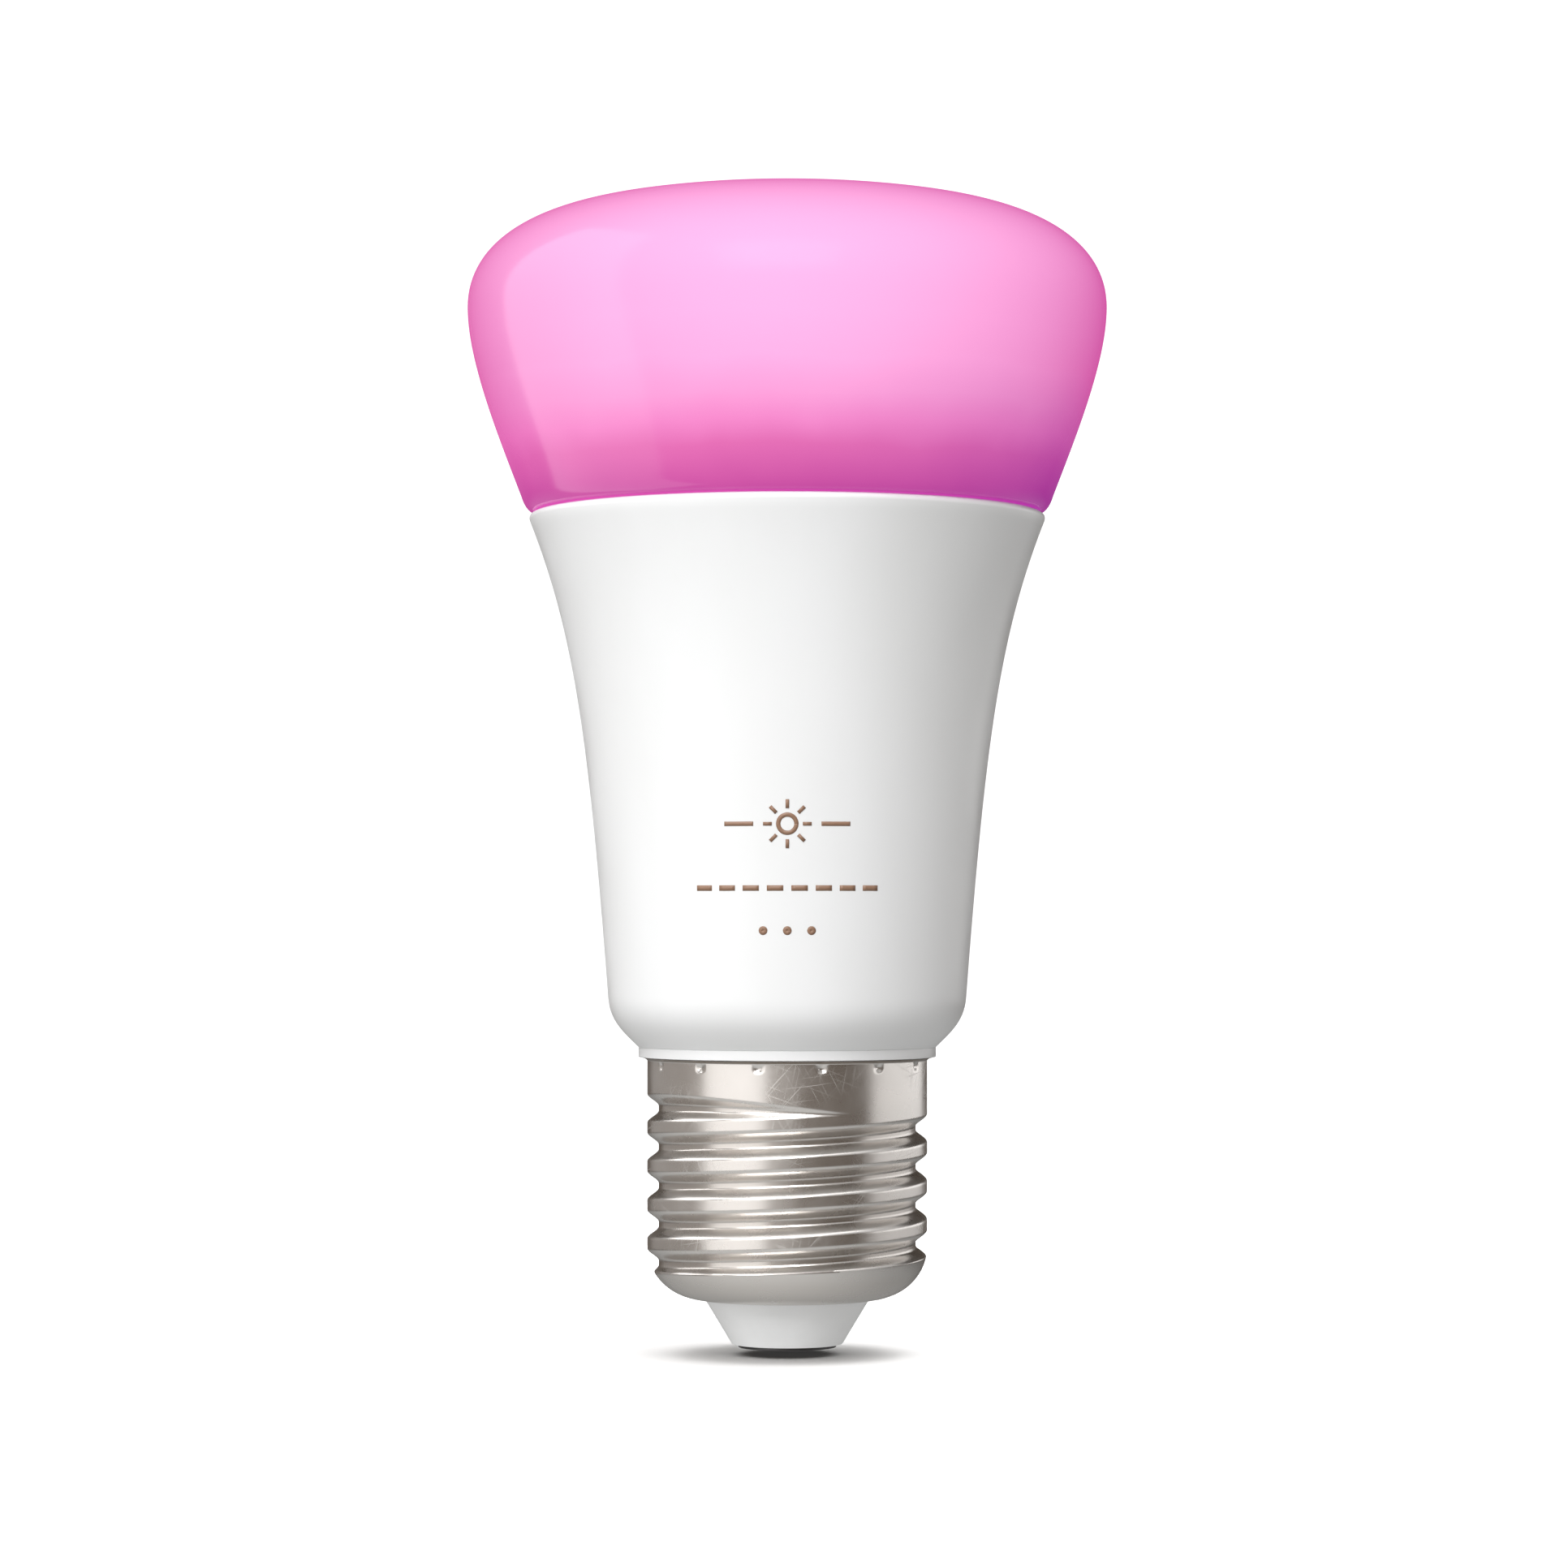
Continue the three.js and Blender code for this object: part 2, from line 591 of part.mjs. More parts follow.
function fuseResistor() {
  const radius = 1.7;
  return coatedBody(radius, 8).translate(-5.6, FRONT - radius, 13);
}

// A disc that lies flat against the board.
function surgeVaristor() {
  return coatedBody(3.6, 3).rotateX(Math.PI / 2).translate(2.6, FRONT, 18);
}

// A package on the board's front between two [x, z] corners, with legs along its upright sides.
function legChip(low, high, legCount) {
  const back = FRONT - CHIP_STANDOFF;
  const body = box([low[0], back - CHIP_HEIGHT, low[1]], [high[0], back, high[1]]);
  const spacing = (high[1] - low[1]) / legCount;
  const legs = [];
  for (let i = 0; i < legCount; i += 1) {
    const z = low[1] + spacing * (i + 0.5);
    legs.push(box(
      [low[0] - LEG_REACH, FRONT - LEG_THICKNESS, z - LEG_WIDTH / 2],
      [high[0] + LEG_REACH, FRONT, z + LEG_WIDTH / 2],
    ));
  }
  return joined(body, ...legs);
}

// The transformer stands behind the board. Its ferrite core is a frame with a round middle leg.
const TRANSFORMER = { y: BACK + 4.4, z: 39, halfWidth: 6, halfHeight: 6, halfDepth: 2 };
const CORE_LEG_RADIUS = 1.6;
const WINDOW_HALF_HEIGHT = 4;
const WINDOW_HALF_WIDTH = 4.6;
const BOBBIN_WALL = 0.5;
const BOBBIN_FLANGE = 0.6;

function transformerCore() {
  const { y, z, halfWidth, halfHeight, halfDepth } = TRANSFORMER;
  const frame = cut(
    box([-halfWidth, -halfDepth, -halfHeight], [halfWidth, halfDepth, halfHeight]),
    box(
      [-WINDOW_HALF_WIDTH, -halfDepth - 1, -WINDOW_HALF_HEIGHT],
      [WINDOW_HALF_WIDTH, halfDepth + 1, WINDOW_HALF_HEIGHT],
    ),
  );
  const legEnd = (WINDOW_HALF_HEIGHT + halfHeight) / 2;
  const leg = disc(CORE_LEG_RADIUS, -legEnd, legEnd, SMALL_SIDES);
  return joined(frame, leg).translate(0, y, z);
}

function transformerBobbin() {
  const bore = CORE_LEG_RADIUS + GAP;
  const barrel = bore + BOBBIN_WALL;
  const flange = WINDOW_HALF_WIDTH - GAP;
  const end = WINDOW_HALF_HEIGHT - SEAT;
  const inner = end - BOBBIN_FLANGE;
  return revolve([
    [flange, end], [flange, inner], [barrel, inner], [barrel, -inner], [flange, -inner],
    [flange, -end], [bore, -end], [bore, end], [flange, end],
  ], SMALL_SIDES).translate(0, TRANSFORMER.y, TRANSFORMER.z);
}

function transformerWinding() {
  const bore = CORE_LEG_RADIUS + GAP + BOBBIN_WALL + GAP;
  const height = WINDOW_HALF_HEIGHT - BOBBIN_FLANGE - 2 * SEAT;
  const winding = tube(bore, WINDOW_HALF_WIDTH - 2 * GAP, -height, height, SMALL_SIDES);
  return winding.translate(0, TRANSFORMER.y, TRANSFORMER.z);
}

// The strip of pins that carries the LED current from the driver board up into the LED socket.
function pinHeader() {
  const halfWidth = (PIN_COUNT * PIN_PITCH) / 2 + 0.5;
  const [bottom, top] = [62, 64.4];
  const body = box([-halfWidth, 2 * HEADER_Y - FRONT, bottom], [halfWidth, FRONT, top]);
  const pins = [];
  for (let i = 0; i < PIN_COUNT; i += 1) {
    const x = (i - (PIN_COUNT - 1) / 2) * PIN_PITCH;
    const half = PIN_WIDTH / 2;
    pins.push(box([x - half, HEADER_Y - half, top - 1], [x + half, HEADER_Y + half, PIN_TOP]));
  }
  return joined(body, ...pins);
}

// ---- Radio -------------------------------------------------------------------------------

function radioBoard() {
  return box(
    [-RADIO_BOARD_HALF_WIDTH, RADIO_BOARD_FRONT, RADIO_BOARD_BOTTOM],
    [RADIO_BOARD_HALF_WIDTH, RADIO_BOARD_BACK, RADIO_BOARD_TOP],
  );
}

// The pressed cover over the radio chip and its crystal, open towards the board.
function radioShield() {
  const wall = 0.25;
  const halfWidth = 5.5;
  const [bottom, top] = [60, 71];
  const [front, back] = [RADIO_BOARD_BACK + SEAT, RADIO_BOARD_BACK + 1.7];
  return cut(
    box([-halfWidth, front, bottom], [halfWidth, back, top]),
    box(
      [-halfWidth + wall, front - 1, bottom + wall],
      [halfWidth - wall, back - wall, top - wall],
    ),
  );
}

// The antenna on the front of the radio board, a flat strip folded to and fro.
function radioAntenna() {
  const strip = 0.7;
  const thickness = 0.15;
  const rise = 1.6;
  const runs = 4;
  const halfLength = 4.5;
  const [feedBottom, bottom] = [72, 80];
  const back = RADIO_BOARD_FRONT - SEAT;
  const front = back - thickness;
  const feed = box([-halfLength, front, feedBottom], [-halfLength + strip, back, bottom + strip]);
  const strips = [];
  for (let i = 0; i < runs; i += 1) {
    const z = bottom + i * rise;
    strips.push(box([-halfLength, front, z], [halfLength, back, z + strip]));
    if (i === runs - 1) break;
    const end = i % 2 === 0 ? halfLength - strip : -halfLength;
    strips.push(box([end, front, z], [end + strip, back, z + rise + strip]));
  }
  return joined(feed, ...strips);
}

// ---- Wires -------------------------------------------------------------------------------

const LIVE_ROUTE = [
  [3, FRONT - 0.5, 13.2], [3, FRONT - 0.5, 11.6], [1.2, -0.6, 9.7], [0, 0, STEM_TOP + GAP],
];

// Down from the board, out under the neck of the liner, and up through its slot beside the shell.
const SHELL_SIDE_X = -11.05;
const NEUTRAL_ROUTE = [
  [-2.2, FRONT - 0.5, 13.2], [-2.6, FRONT - 0.4, 11.2], [-6.8, -0.6, 9.2], [-10, 0, 8.7],
  [SHELL_SIDE_X, 0, 10.2], [SHELL_SIDE_X, 0, 14.6],
];

// ---- Assembly ----------------------------------------------------------------------------

const LOOKS = {
  diffuser: [0xf4a3dc, 0.25, 0],
  whitePlastic: [0xf2f2f0, 0.4, 0],
  palePlastic: [0xd8d8d6, 0.5, 0],
  nickel: [0xb9b3ab, 0.3, 1],
  steel: [0x55565a, 0.4, 1],
  aluminium: [0xc8cacc, 0.45, 1],
  silicone: [0xe9e9e6, 0.6, 0],
  thermalPad: [0x9fb4c8, 0.9, 0],
  whiteBoard: [0xf6f6f2, 0.5, 0],
  greenBoard: [0x1f6b3a, 0.5, 0],
  blackPlastic: [0x1b1b1d, 0.5, 0],
  ferrite: [0x3a3a3d, 0.7, 0],
  copper: [0xb5713d, 0.35, 1],
  film: [0xc43b2e, 0.5, 0],
  ceramic: [0x2c62a0, 0.5, 0],
  sleeve: [0x23304a, 0.35, 0],
  tin: [0xc9ccd0, 0.3, 1],
  redWire: [0xb3261e, 0.5, 0],
  whiteWire: [0xe4e4e0, 0.5, 0],
  warmLed: [0xf1d36b, 0.4, 0],
  coolLed: [0xf3f0a8, 0.4, 0],
  redLed: [0xe8b3a6, 0.3, 0],
  greenLed: [0xbfe3b4, 0.3, 0],
  blueLed: [0xa9bdea, 0.3, 0],
};

const bulb = new THREE.Group();
bulb.name = "smart_bulb";

function piece(name, geometry, look) {
  const [color, roughness, metalness] = LOOKS[look];
  const material = new THREE.MeshStandardMaterial({ color, roughness, metalness });
  const mesh = new THREE.Mesh(geometry, material);
  mesh.name = name;
  bulb.add(mesh);
}

piece("diffuser_dome", diffuserDome(), "diffuser");
piece("dome_sealant", domeSealant(), "silicone");
piece("housing", housing(), "whitePlastic");
piece("insulating_liner", insulatingLiner(), "whitePlastic");
piece("screw_shell", screwShell(), "nickel");
piece("cap_insulator", capInsulator(), "palePlastic");
piece("centre_contact", centreContact(), "steel");

piece("heat_spreader", heatSpreader(), "aluminium");
piece("thermal_pad", thermalPad(), "thermalPad");
piece("led_board", ledBoard(), "whiteBoard");
piece("led_socket", ledSocket(), "blackPlastic");
piece("board_screw_1", boardScrew(-SCREW_X), "tin");
piece("board_screw_2", boardScrew(SCREW_X), "tin");

// Round the ring, each colour faces its own kind, so that the dome is lit evenly.
const HALF_RING = ["warm_white", "red", "cool_white", "warm_white", "green", "blue"];
const LED_LOOKS = {
  warm_white: "warmLed", cool_white: "coolLed", red: "redLed", green: "greenLed", blue: "blueLed",
};
const ledCounts = {};
[...HALF_RING, ...HALF_RING].forEach((colour, i, ring) => {
  ledCounts[colour] = (ledCounts[colour] ?? 0) + 1;
  const angle = (2 * Math.PI * (i + 0.5)) / ring.length;
  piece(`led_${colour}_${ledCounts[colour]}`, led(angle), LED_LOOKS[colour]);
});

piece("driver_board", driverBoard(), "greenBoard");
piece("fuse_resistor", fuseResistor(), "ceramic");
piece("surge_varistor", surgeVaristor(), "ceramic");
piece("film_capacitor", box([-4.5, BACK, 13], [4.5, BACK + 4.2, 21]), "film");
piece("filter_choke", drum(3, 0, BACK + 3, 22.5, 29.5), "ferrite");
piece("bridge_rectifier", legChip([-2.4, 24.2], [2.4, 28.8], 2), "blackPlastic");
piece("bulk_capacitor_1", can(3.9, -4.2, FRONT - 4, 31, 45), "sleeve");
piece("bulk_capacitor_2", can(3.9, 4.2, FRONT - 4, 31, 45), "sleeve");
piece("switch_transistor", legChip([-7, 46.6], [-2, 52.4], 3), "blackPlastic");
piece("driver_chip", legChip([2, 47.2], [5.9, 52.1], 4), "blackPlastic");
piece("output_diode", box([-6.6, FRONT - 2.2, 55.4], [-2.3, FRONT, 58]), "blackPlastic");
piece("current_chip", legChip([1.4, 54.6], [5.3, 59.6], 5), "blackPlastic");
piece("transformer_core", transformerCore(), "ferrite");
piece("transformer_bobbin", transformerBobbin(), "blackPlastic");
piece("transformer_winding", transformerWinding(), "copper");
piece("output_capacitor", can(3.1, -4.5, BACK + 3.2, 46.6, 55.8), "sleeve");
piece("output_inductor", drum(3.2, 4.2, BACK + 3.3, 46.6, 53), "ferrite");
piece("pin_header", pinHeader(), "tin");

piece("radio_header", box([-4.5, BACK, 57.4], [4.5, RADIO_BOARD_FRONT - SEAT, 59.8]), "blackPlastic");
piece("radio_board", radioBoard(), "greenBoard");
piece("radio_shield", radioShield(), "tin");
piece("radio_chip", box([-2.5, RADIO_BOARD_BACK + SEAT, 62], [2.5, 5.1, 67]), "blackPlastic");
piece("radio_crystal", box([-1.3, RADIO_BOARD_BACK + SEAT, 68], [1.3, 5, 69.8]), "tin");
piece("radio_antenna", radioAntenna(), "copper");

piece("live_wire", wire(LIVE_ROUTE, 0.45), "redWire");
piece("neutral_wire", wire(NEUTRAL_ROUTE, 0.4), "whiteWire");

export default bulb;
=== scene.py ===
# Looks of a smart light bulb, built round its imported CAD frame.
# Metres. The origin is the tip of the screw cap, +Z runs up the bulb's axis and -Y is the front.
import json
import math

import bmesh
import bpy
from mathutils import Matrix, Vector


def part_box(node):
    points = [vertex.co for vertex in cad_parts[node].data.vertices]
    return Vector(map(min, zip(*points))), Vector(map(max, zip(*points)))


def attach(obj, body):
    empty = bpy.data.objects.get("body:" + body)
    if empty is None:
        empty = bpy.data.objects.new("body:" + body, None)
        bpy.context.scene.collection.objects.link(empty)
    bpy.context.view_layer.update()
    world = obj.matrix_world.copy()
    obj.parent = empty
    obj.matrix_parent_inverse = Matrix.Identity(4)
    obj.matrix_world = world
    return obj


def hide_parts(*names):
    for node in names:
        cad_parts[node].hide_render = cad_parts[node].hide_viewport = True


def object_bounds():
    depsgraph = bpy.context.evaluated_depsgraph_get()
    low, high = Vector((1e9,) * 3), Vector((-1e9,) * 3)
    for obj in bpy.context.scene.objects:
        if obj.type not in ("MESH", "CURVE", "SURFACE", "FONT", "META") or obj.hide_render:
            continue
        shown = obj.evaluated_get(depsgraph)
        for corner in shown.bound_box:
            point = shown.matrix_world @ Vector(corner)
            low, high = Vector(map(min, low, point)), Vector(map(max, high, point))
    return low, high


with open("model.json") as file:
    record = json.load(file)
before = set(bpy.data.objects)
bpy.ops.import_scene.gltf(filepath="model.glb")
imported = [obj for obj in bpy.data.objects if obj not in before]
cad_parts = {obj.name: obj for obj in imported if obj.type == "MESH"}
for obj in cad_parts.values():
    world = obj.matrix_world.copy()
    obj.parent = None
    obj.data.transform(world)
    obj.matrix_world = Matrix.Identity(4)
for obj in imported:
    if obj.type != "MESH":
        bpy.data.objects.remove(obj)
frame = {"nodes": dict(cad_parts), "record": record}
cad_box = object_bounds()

MM = 0.001

# ---- Driving dimensions ------------------------------------------------------------------
# A pair is a point (radius, height), unless its name or its note says otherwise.

SKIN_SIDES = 256  # facets round the dome, the housing and the collar
CAP_SIDES = 420  # round the cap, a whole number of them from each dimple to the next

BULB_TOP = cad_box[1].z
DOME_RIM = (25.07 * MM, 79.93 * MM)
DOME_WIDEST = (cad_box[1].x, 97.66 * MM)
DOME_FOOT = (23.7 * MM, 78.43 * MM)  # where the rim's small round starts
DOME_FOOT_HANDLE = (24.62 * MM, 78.43 * MM)
FLANK_HANDLES = ((27.04 * MM, 85.11 * MM), (DOME_WIDEST[0], 92.57 * MM))
SHOULDER_RISE = 5.19 * MM  # of the shoulder's lower handle, straight up from the widest point
SHOULDER_REACH = 6 * MM  # of its upper handle, along the crown's tangent
CROWN_RADIUS = 103 * MM
CROWN_EDGE = 19.6 * MM
DOME_WALL = 1.2 * MM
DOME_UNDERSIDE = DOME_FOOT[1]
SKIRT_RADIUS = 22 * MM
SKIRT_WALL = 1.1 * MM
SKIRT_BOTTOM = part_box("diffuser_dome")[0].z

HOUSING_BOTTOM = (14 * MM, 28.13 * MM)
HOUSING_WAIST = (16.84 * MM, 32.83 * MM)
HOUSING_LIP = (24.28 * MM, 77.68 * MM)
HOUSING_TOP = 78.35 * MM
UNDERSIDE_HANDLES = ((15.5 * MM, 29.58 * MM), (16.7 * MM, 30.63 * MM))
HOUSING_HANDLES = ((18.71 * MM, 57.19 * MM), (20.08 * MM, 67.03 * MM))
LIP_HANDLE = (24.4 * MM, HOUSING_TOP)
LIP_INSIDE = (23.4 * MM, HOUSING_TOP)
HOUSING_WALL = 1.5 * MM
CLEARANCE = 0.3 * MM  # round the liner
POCKET_RADIUS = 22.4 * MM
POCKET_FLOOR = 75.2 * MM

COLLAR_RADIUS = 13.98 * MM
COLLAR_BOTTOM = 27.2 * MM
COLLAR_TOP = HOUSING_BOTTOM[1]
SLEEVE_RADIUS = 12.5 * MM
SLEEVE_TOP = 71 * MM
NECK_RADIUS = 11.5 * MM
NECK_TOP = 24.2 * MM
NECK_BOTTOM = 9.8 * MM
LINER_WALL = 0.9 * MM
LINER_ROUNDING = 0.06 * MM

PITCH = 3.62 * MM
CREST_RADIUS = 13.15 * MM
THREAD_DEPTH = 1.08 * MM
GROOVE_HALF_WIDTH = 1.35 * MM
GROOVE_FLOOR_SHARE = 0.15  # of its half width, that is flat
GROOVE_END_ANGLE = math.radians(299)
GROOVE_END_EDGE = 22.2 * MM
GROOVE_FADE_ANGLE = math.radians(100)
GROOVE_FADE_POWER = 1.7  # above 1 the groove grows shallow before it grows narrow
GROOVE_TURNS = 6  # that are followed down from the run-out
GROOVE_START = (6.3 * MM, 7.8 * MM)  # heights between which it deepens from the bowl up
SHEET = 0.3 * MM
BOWL_CENTRE = (8.1 * MM, 9.4 * MM)
BOWL_DEPTH = 4.85 * MM
BOWL_REACH = CREST_RADIUS - BOWL_CENTRE[0]
BOWL_OPENING = math.radians(-90)  # down from level, at the edge round the cone
BOWL_EDGE = math.radians(-40)  # and where the rows of the mesh start to climb
BOWL_STEPS = 12
RIDGE_POWER = 4  # the higher, the sharper the ridge between bowl and thread
THREAD_TOP = 24 * MM
BAND_TOP = 26.85 * MM
RIM_RADIUS = 13.7 * MM
RIM_TOP = 27.15 * MM
RIM_FLARE = 0.1 * MM
RIM_STEPS = 5
DIMPLES = 14
DIMPLE_HEIGHT = 26.45 * MM
DIMPLE_RADIUS = 0.5 * MM
DIMPLE_DEPTH = 0.22 * MM
FIRST_DIMPLE = math.radians(284)

CONE_SIDES = 180
CONE_BORE = 1.4 * MM
CONE_BOTTOM = 5.2 * MM
CONE_TOP = (7.75 * MM, 4.5 * MM)
CONE_ROUNDING = 0.15 * MM
FLANGE = (9.3 * MM, 5.35 * MM, 6.8 * MM)  # radius, bottom and top of what the shell holds
INSULATOR_TOP = (3 * MM, 7.6 * MM)
CONTACT_RADIUS = 4.6 * MM
CONTACT_THICKNESS = 0.3 * MM
CONTACT_ROUNDING = 0.06 * MM
STEM_RADIUS = 1.1 * MM
STEM_TOP = 8 * MM

PRINT_LIFT = 0.02 * MM
PRINT_THICKNESS = 0.03 * MM
SUN_HEIGHT = 48.75 * MM
SUN_RING = (0.62 * MM, 1.02 * MM)  # inner and outer radius
SUN_RAYS = 8
RAY_REACH = (1.4 * MM, 2.2 * MM)
RAY_HALF_WIDTH = 0.16 * MM
BAR_REACH = (3.1 * MM, 5.8 * MM)
BAR_HALF_HEIGHT = 0.2 * MM
DASHES = 8
DASH_LENGTH = 1.5 * MM
DASH_GAP = 0.72 * MM
DASH_HEIGHTS = (42.7 * MM, 43.2 * MM)
DOT_HEIGHT = 39.1 * MM
DOT_SPACING = 2.2 * MM
DOT_RING = (0.01 * MM, 0.4 * MM)  # inner and outer radius

# ---- Outlines ----------------------------------------------------------------------------

LEAST_CORNER = math.radians(20)  # a flatter one stays as it is
LARGEST_BITE = 0.45  # of the shorter edge, that the arc at a corner may take


def lerp(start, end, share):
    """The value that lies a share of the way from start to end."""
    return start + (end - start) * share


def smoothstep(value, low, high):
    """0 up to low, 1 from high on, and a smooth rise between."""
    share = min(max((value - low) / (high - low), 0), 1)
    return share * share * (3 - 2 * share)


def bezier(start, handle_1, handle_2, end, steps):
    """Points along a cubic curve, both ends included."""
    points = []
    for i in range(steps + 1):
        t = i / steps
        weights = ((1 - t) ** 3, 3 * t * (1 - t) ** 2, 3 * t * t * (1 - t), t**3)
        corners = (start, handle_1, handle_2, end)
        points.append(tuple(sum(w * c[axis] for w, c in zip(weights, corners)) for axis in (0, 1)))
    return points


def quadratic(start, handle, end, steps):
    """Points along a quadratic curve, both ends included."""
    handles = [tuple(lerp(p, h, 2 / 3) for p, h in zip(point, handle)) for point in (start, end)]
    return bezier(start, *handles, end, steps)


def inset(points, distance):
    """The points moved square to the line through their neighbours, to the left of its way."""
    moved = []
    for i, (radius, height) in enumerate(points):
        before = points[max(i - 1, 0)]
        after = points[min(i + 1, len(points) - 1)]
        along = Vector((after[0] - before[0], after[1] - before[1])).normalized()
        moved.append((radius - along.y * distance, height + along.x * distance))
    return moved


def rounded(outline, radius, steps=4):
    """A closed outline with each of its corners broken by a small arc."""
    points = []
    for i, corner in enumerate(outline):
        corner = Vector(corner)
        before = Vector(outline[i - 1]) - corner
        after = Vector(outline[(i + 1) % len(outline)]) - corner
        turn = math.pi - before.angle(after)
        if turn < LEAST_CORNER or corner.x == 0:
            points.append(tuple(corner))
            continue
        longest = LARGEST_BITE * min(before.length, after.length)
        reach = min(radius * math.tan(turn / 2), longest)
        start = corner + before.normalized() * reach
        end = corner + after.normalized() * reach
        points.extend(quadratic(start, corner, end, steps))
    return points


def dome_outside(steps):
    """The dome's outer line from its rim up to the middle of its crown."""
    crown_centre = BULB_TOP - CROWN_RADIUS
    edge_angle = math.asin(CROWN_EDGE / CROWN_RADIUS)
    edge = (CROWN_EDGE, crown_centre + CROWN_RADIUS * math.cos(edge_angle))
    flank = bezier(DOME_RIM, *FLANK_HANDLES, DOME_WIDEST, steps)
    lower_handle = (DOME_WIDEST[0], DOME_WIDEST[1] + SHOULDER_RISE)
    upper_handle = (
        edge[0] + SHOULDER_REACH * math.cos(edge_angle),
        edge[1] - SHOULDER_REACH * math.sin(edge_angle),
    )
    shoulder = bezier(DOME_WIDEST, lower_handle, upper_handle, edge, steps)
    crown = []
    for i in range(steps + 1):
        angle = edge_angle * (1 - i / steps)
        crown.append((CROWN_RADIUS * math.sin(angle), crown_centre + CROWN_RADIUS * math.cos(angle)))
    crown[-1] = (0, BULB_TOP)
    return flank + shoulder[1:] + crown[1:]


def housing_flank(steps):
    """The housing's outer line from its waist up to its lip."""
    return bezier(HOUSING_WAIST, *HOUSING_HANDLES, HOUSING_LIP, steps)


def housing_radius(height):
    """Outer radius of the housing's flank at a height."""
    points = housing_flank(60)
    for (radius_1, height_1), (radius_2, height_2) in zip(points, points[1:]):
        if height_1 <= height <= height_2:
            return lerp(radius_1, radius_2, (height - height_1) / (height_2 - height_1))
    raise ValueError("that height is not on the flank")


# ---- Meshes ------------------------------------------------------------------------------

WELD_DISTANCE = 1e-7
SHARP_ANGLE = math.radians(32)


def piece(name, vertices, faces, finish, replaced=(), weld=False):
    """A named piece of the bulb that rides on its one body, smooth but for its sharp edges."""
    mesh = bpy.data.meshes.new(name)
    mesh.from_pydata(vertices, [], faces)
    mesh.validate()
    if weld:
        welded = bmesh.new()
        welded.from_mesh(mesh)
        bmesh.ops.remove_doubles(welded, verts=welded.verts, dist=WELD_DISTANCE)
        welded.to_mesh(mesh)
        welded.free()
    mesh.shade_smooth()
    mesh.set_sharp_from_angle(angle=SHARP_ANGLE)
    mesh.materials.append(FINISHES[finish])
    made = bpy.data.objects.new(name, mesh)
    bpy.context.scene.collection.objects.link(made)
    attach(made, "root")
    if replaced:
        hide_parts(*replaced)
    return made


def grid_faces(columns, rows, closed_rows, closed_columns=True):
    """Quads between columns of points, each column a list of rows."""
    faces = []
    for i in range(columns if closed_columns else columns - 1):
        following = (i + 1) % columns
        for j in range(rows if closed_rows else rows - 1):
            above = (j + 1) % rows
            faces.append(
                (i * rows + j, following * rows + j, following * rows + above, i * rows + above)
            )
    return faces


def turned(name, outline, finish, replaced=(), sides=SKIN_SIDES):
    """An outline of (radius, height) points turned round the axis. It runs up the outside, and
    starts and ends on the axis or closes on itself."""
    ring = [point for point in outline if point[0] > 0]
    open_ends = len(ring) < len(outline)
    vertices = []
    for i in range(sides):
        angle = 2 * math.pi * i / sides
        vertices += [(r * math.cos(angle), r * math.sin(angle), z) for r, z in ring]
    rows = len(ring)
    faces = grid_faces(sides, rows, closed_rows=not open_ends)
    if open_ends:
        for row, (_, height), flip in ((0, outline[0], True), (rows - 1, outline[-1], False)):
            middle = len(vertices)
            vertices.append((0, 0, height))
            for i in range(sides):
                edge = (i * rows + row, (i + 1) % sides * rows + row)
                faces.append((edge[1], edge[0], middle) if flip else (*edge, middle))
    return piece(name, vertices, faces, finish, replaced)


# ---- Finishes ----------------------------------------------------------------------------

FINISHES = {}
SCRATCH_WIDTH = 0.13 * MM
SCRATCH_TILTS = (8, -21, 47, -62, 78)


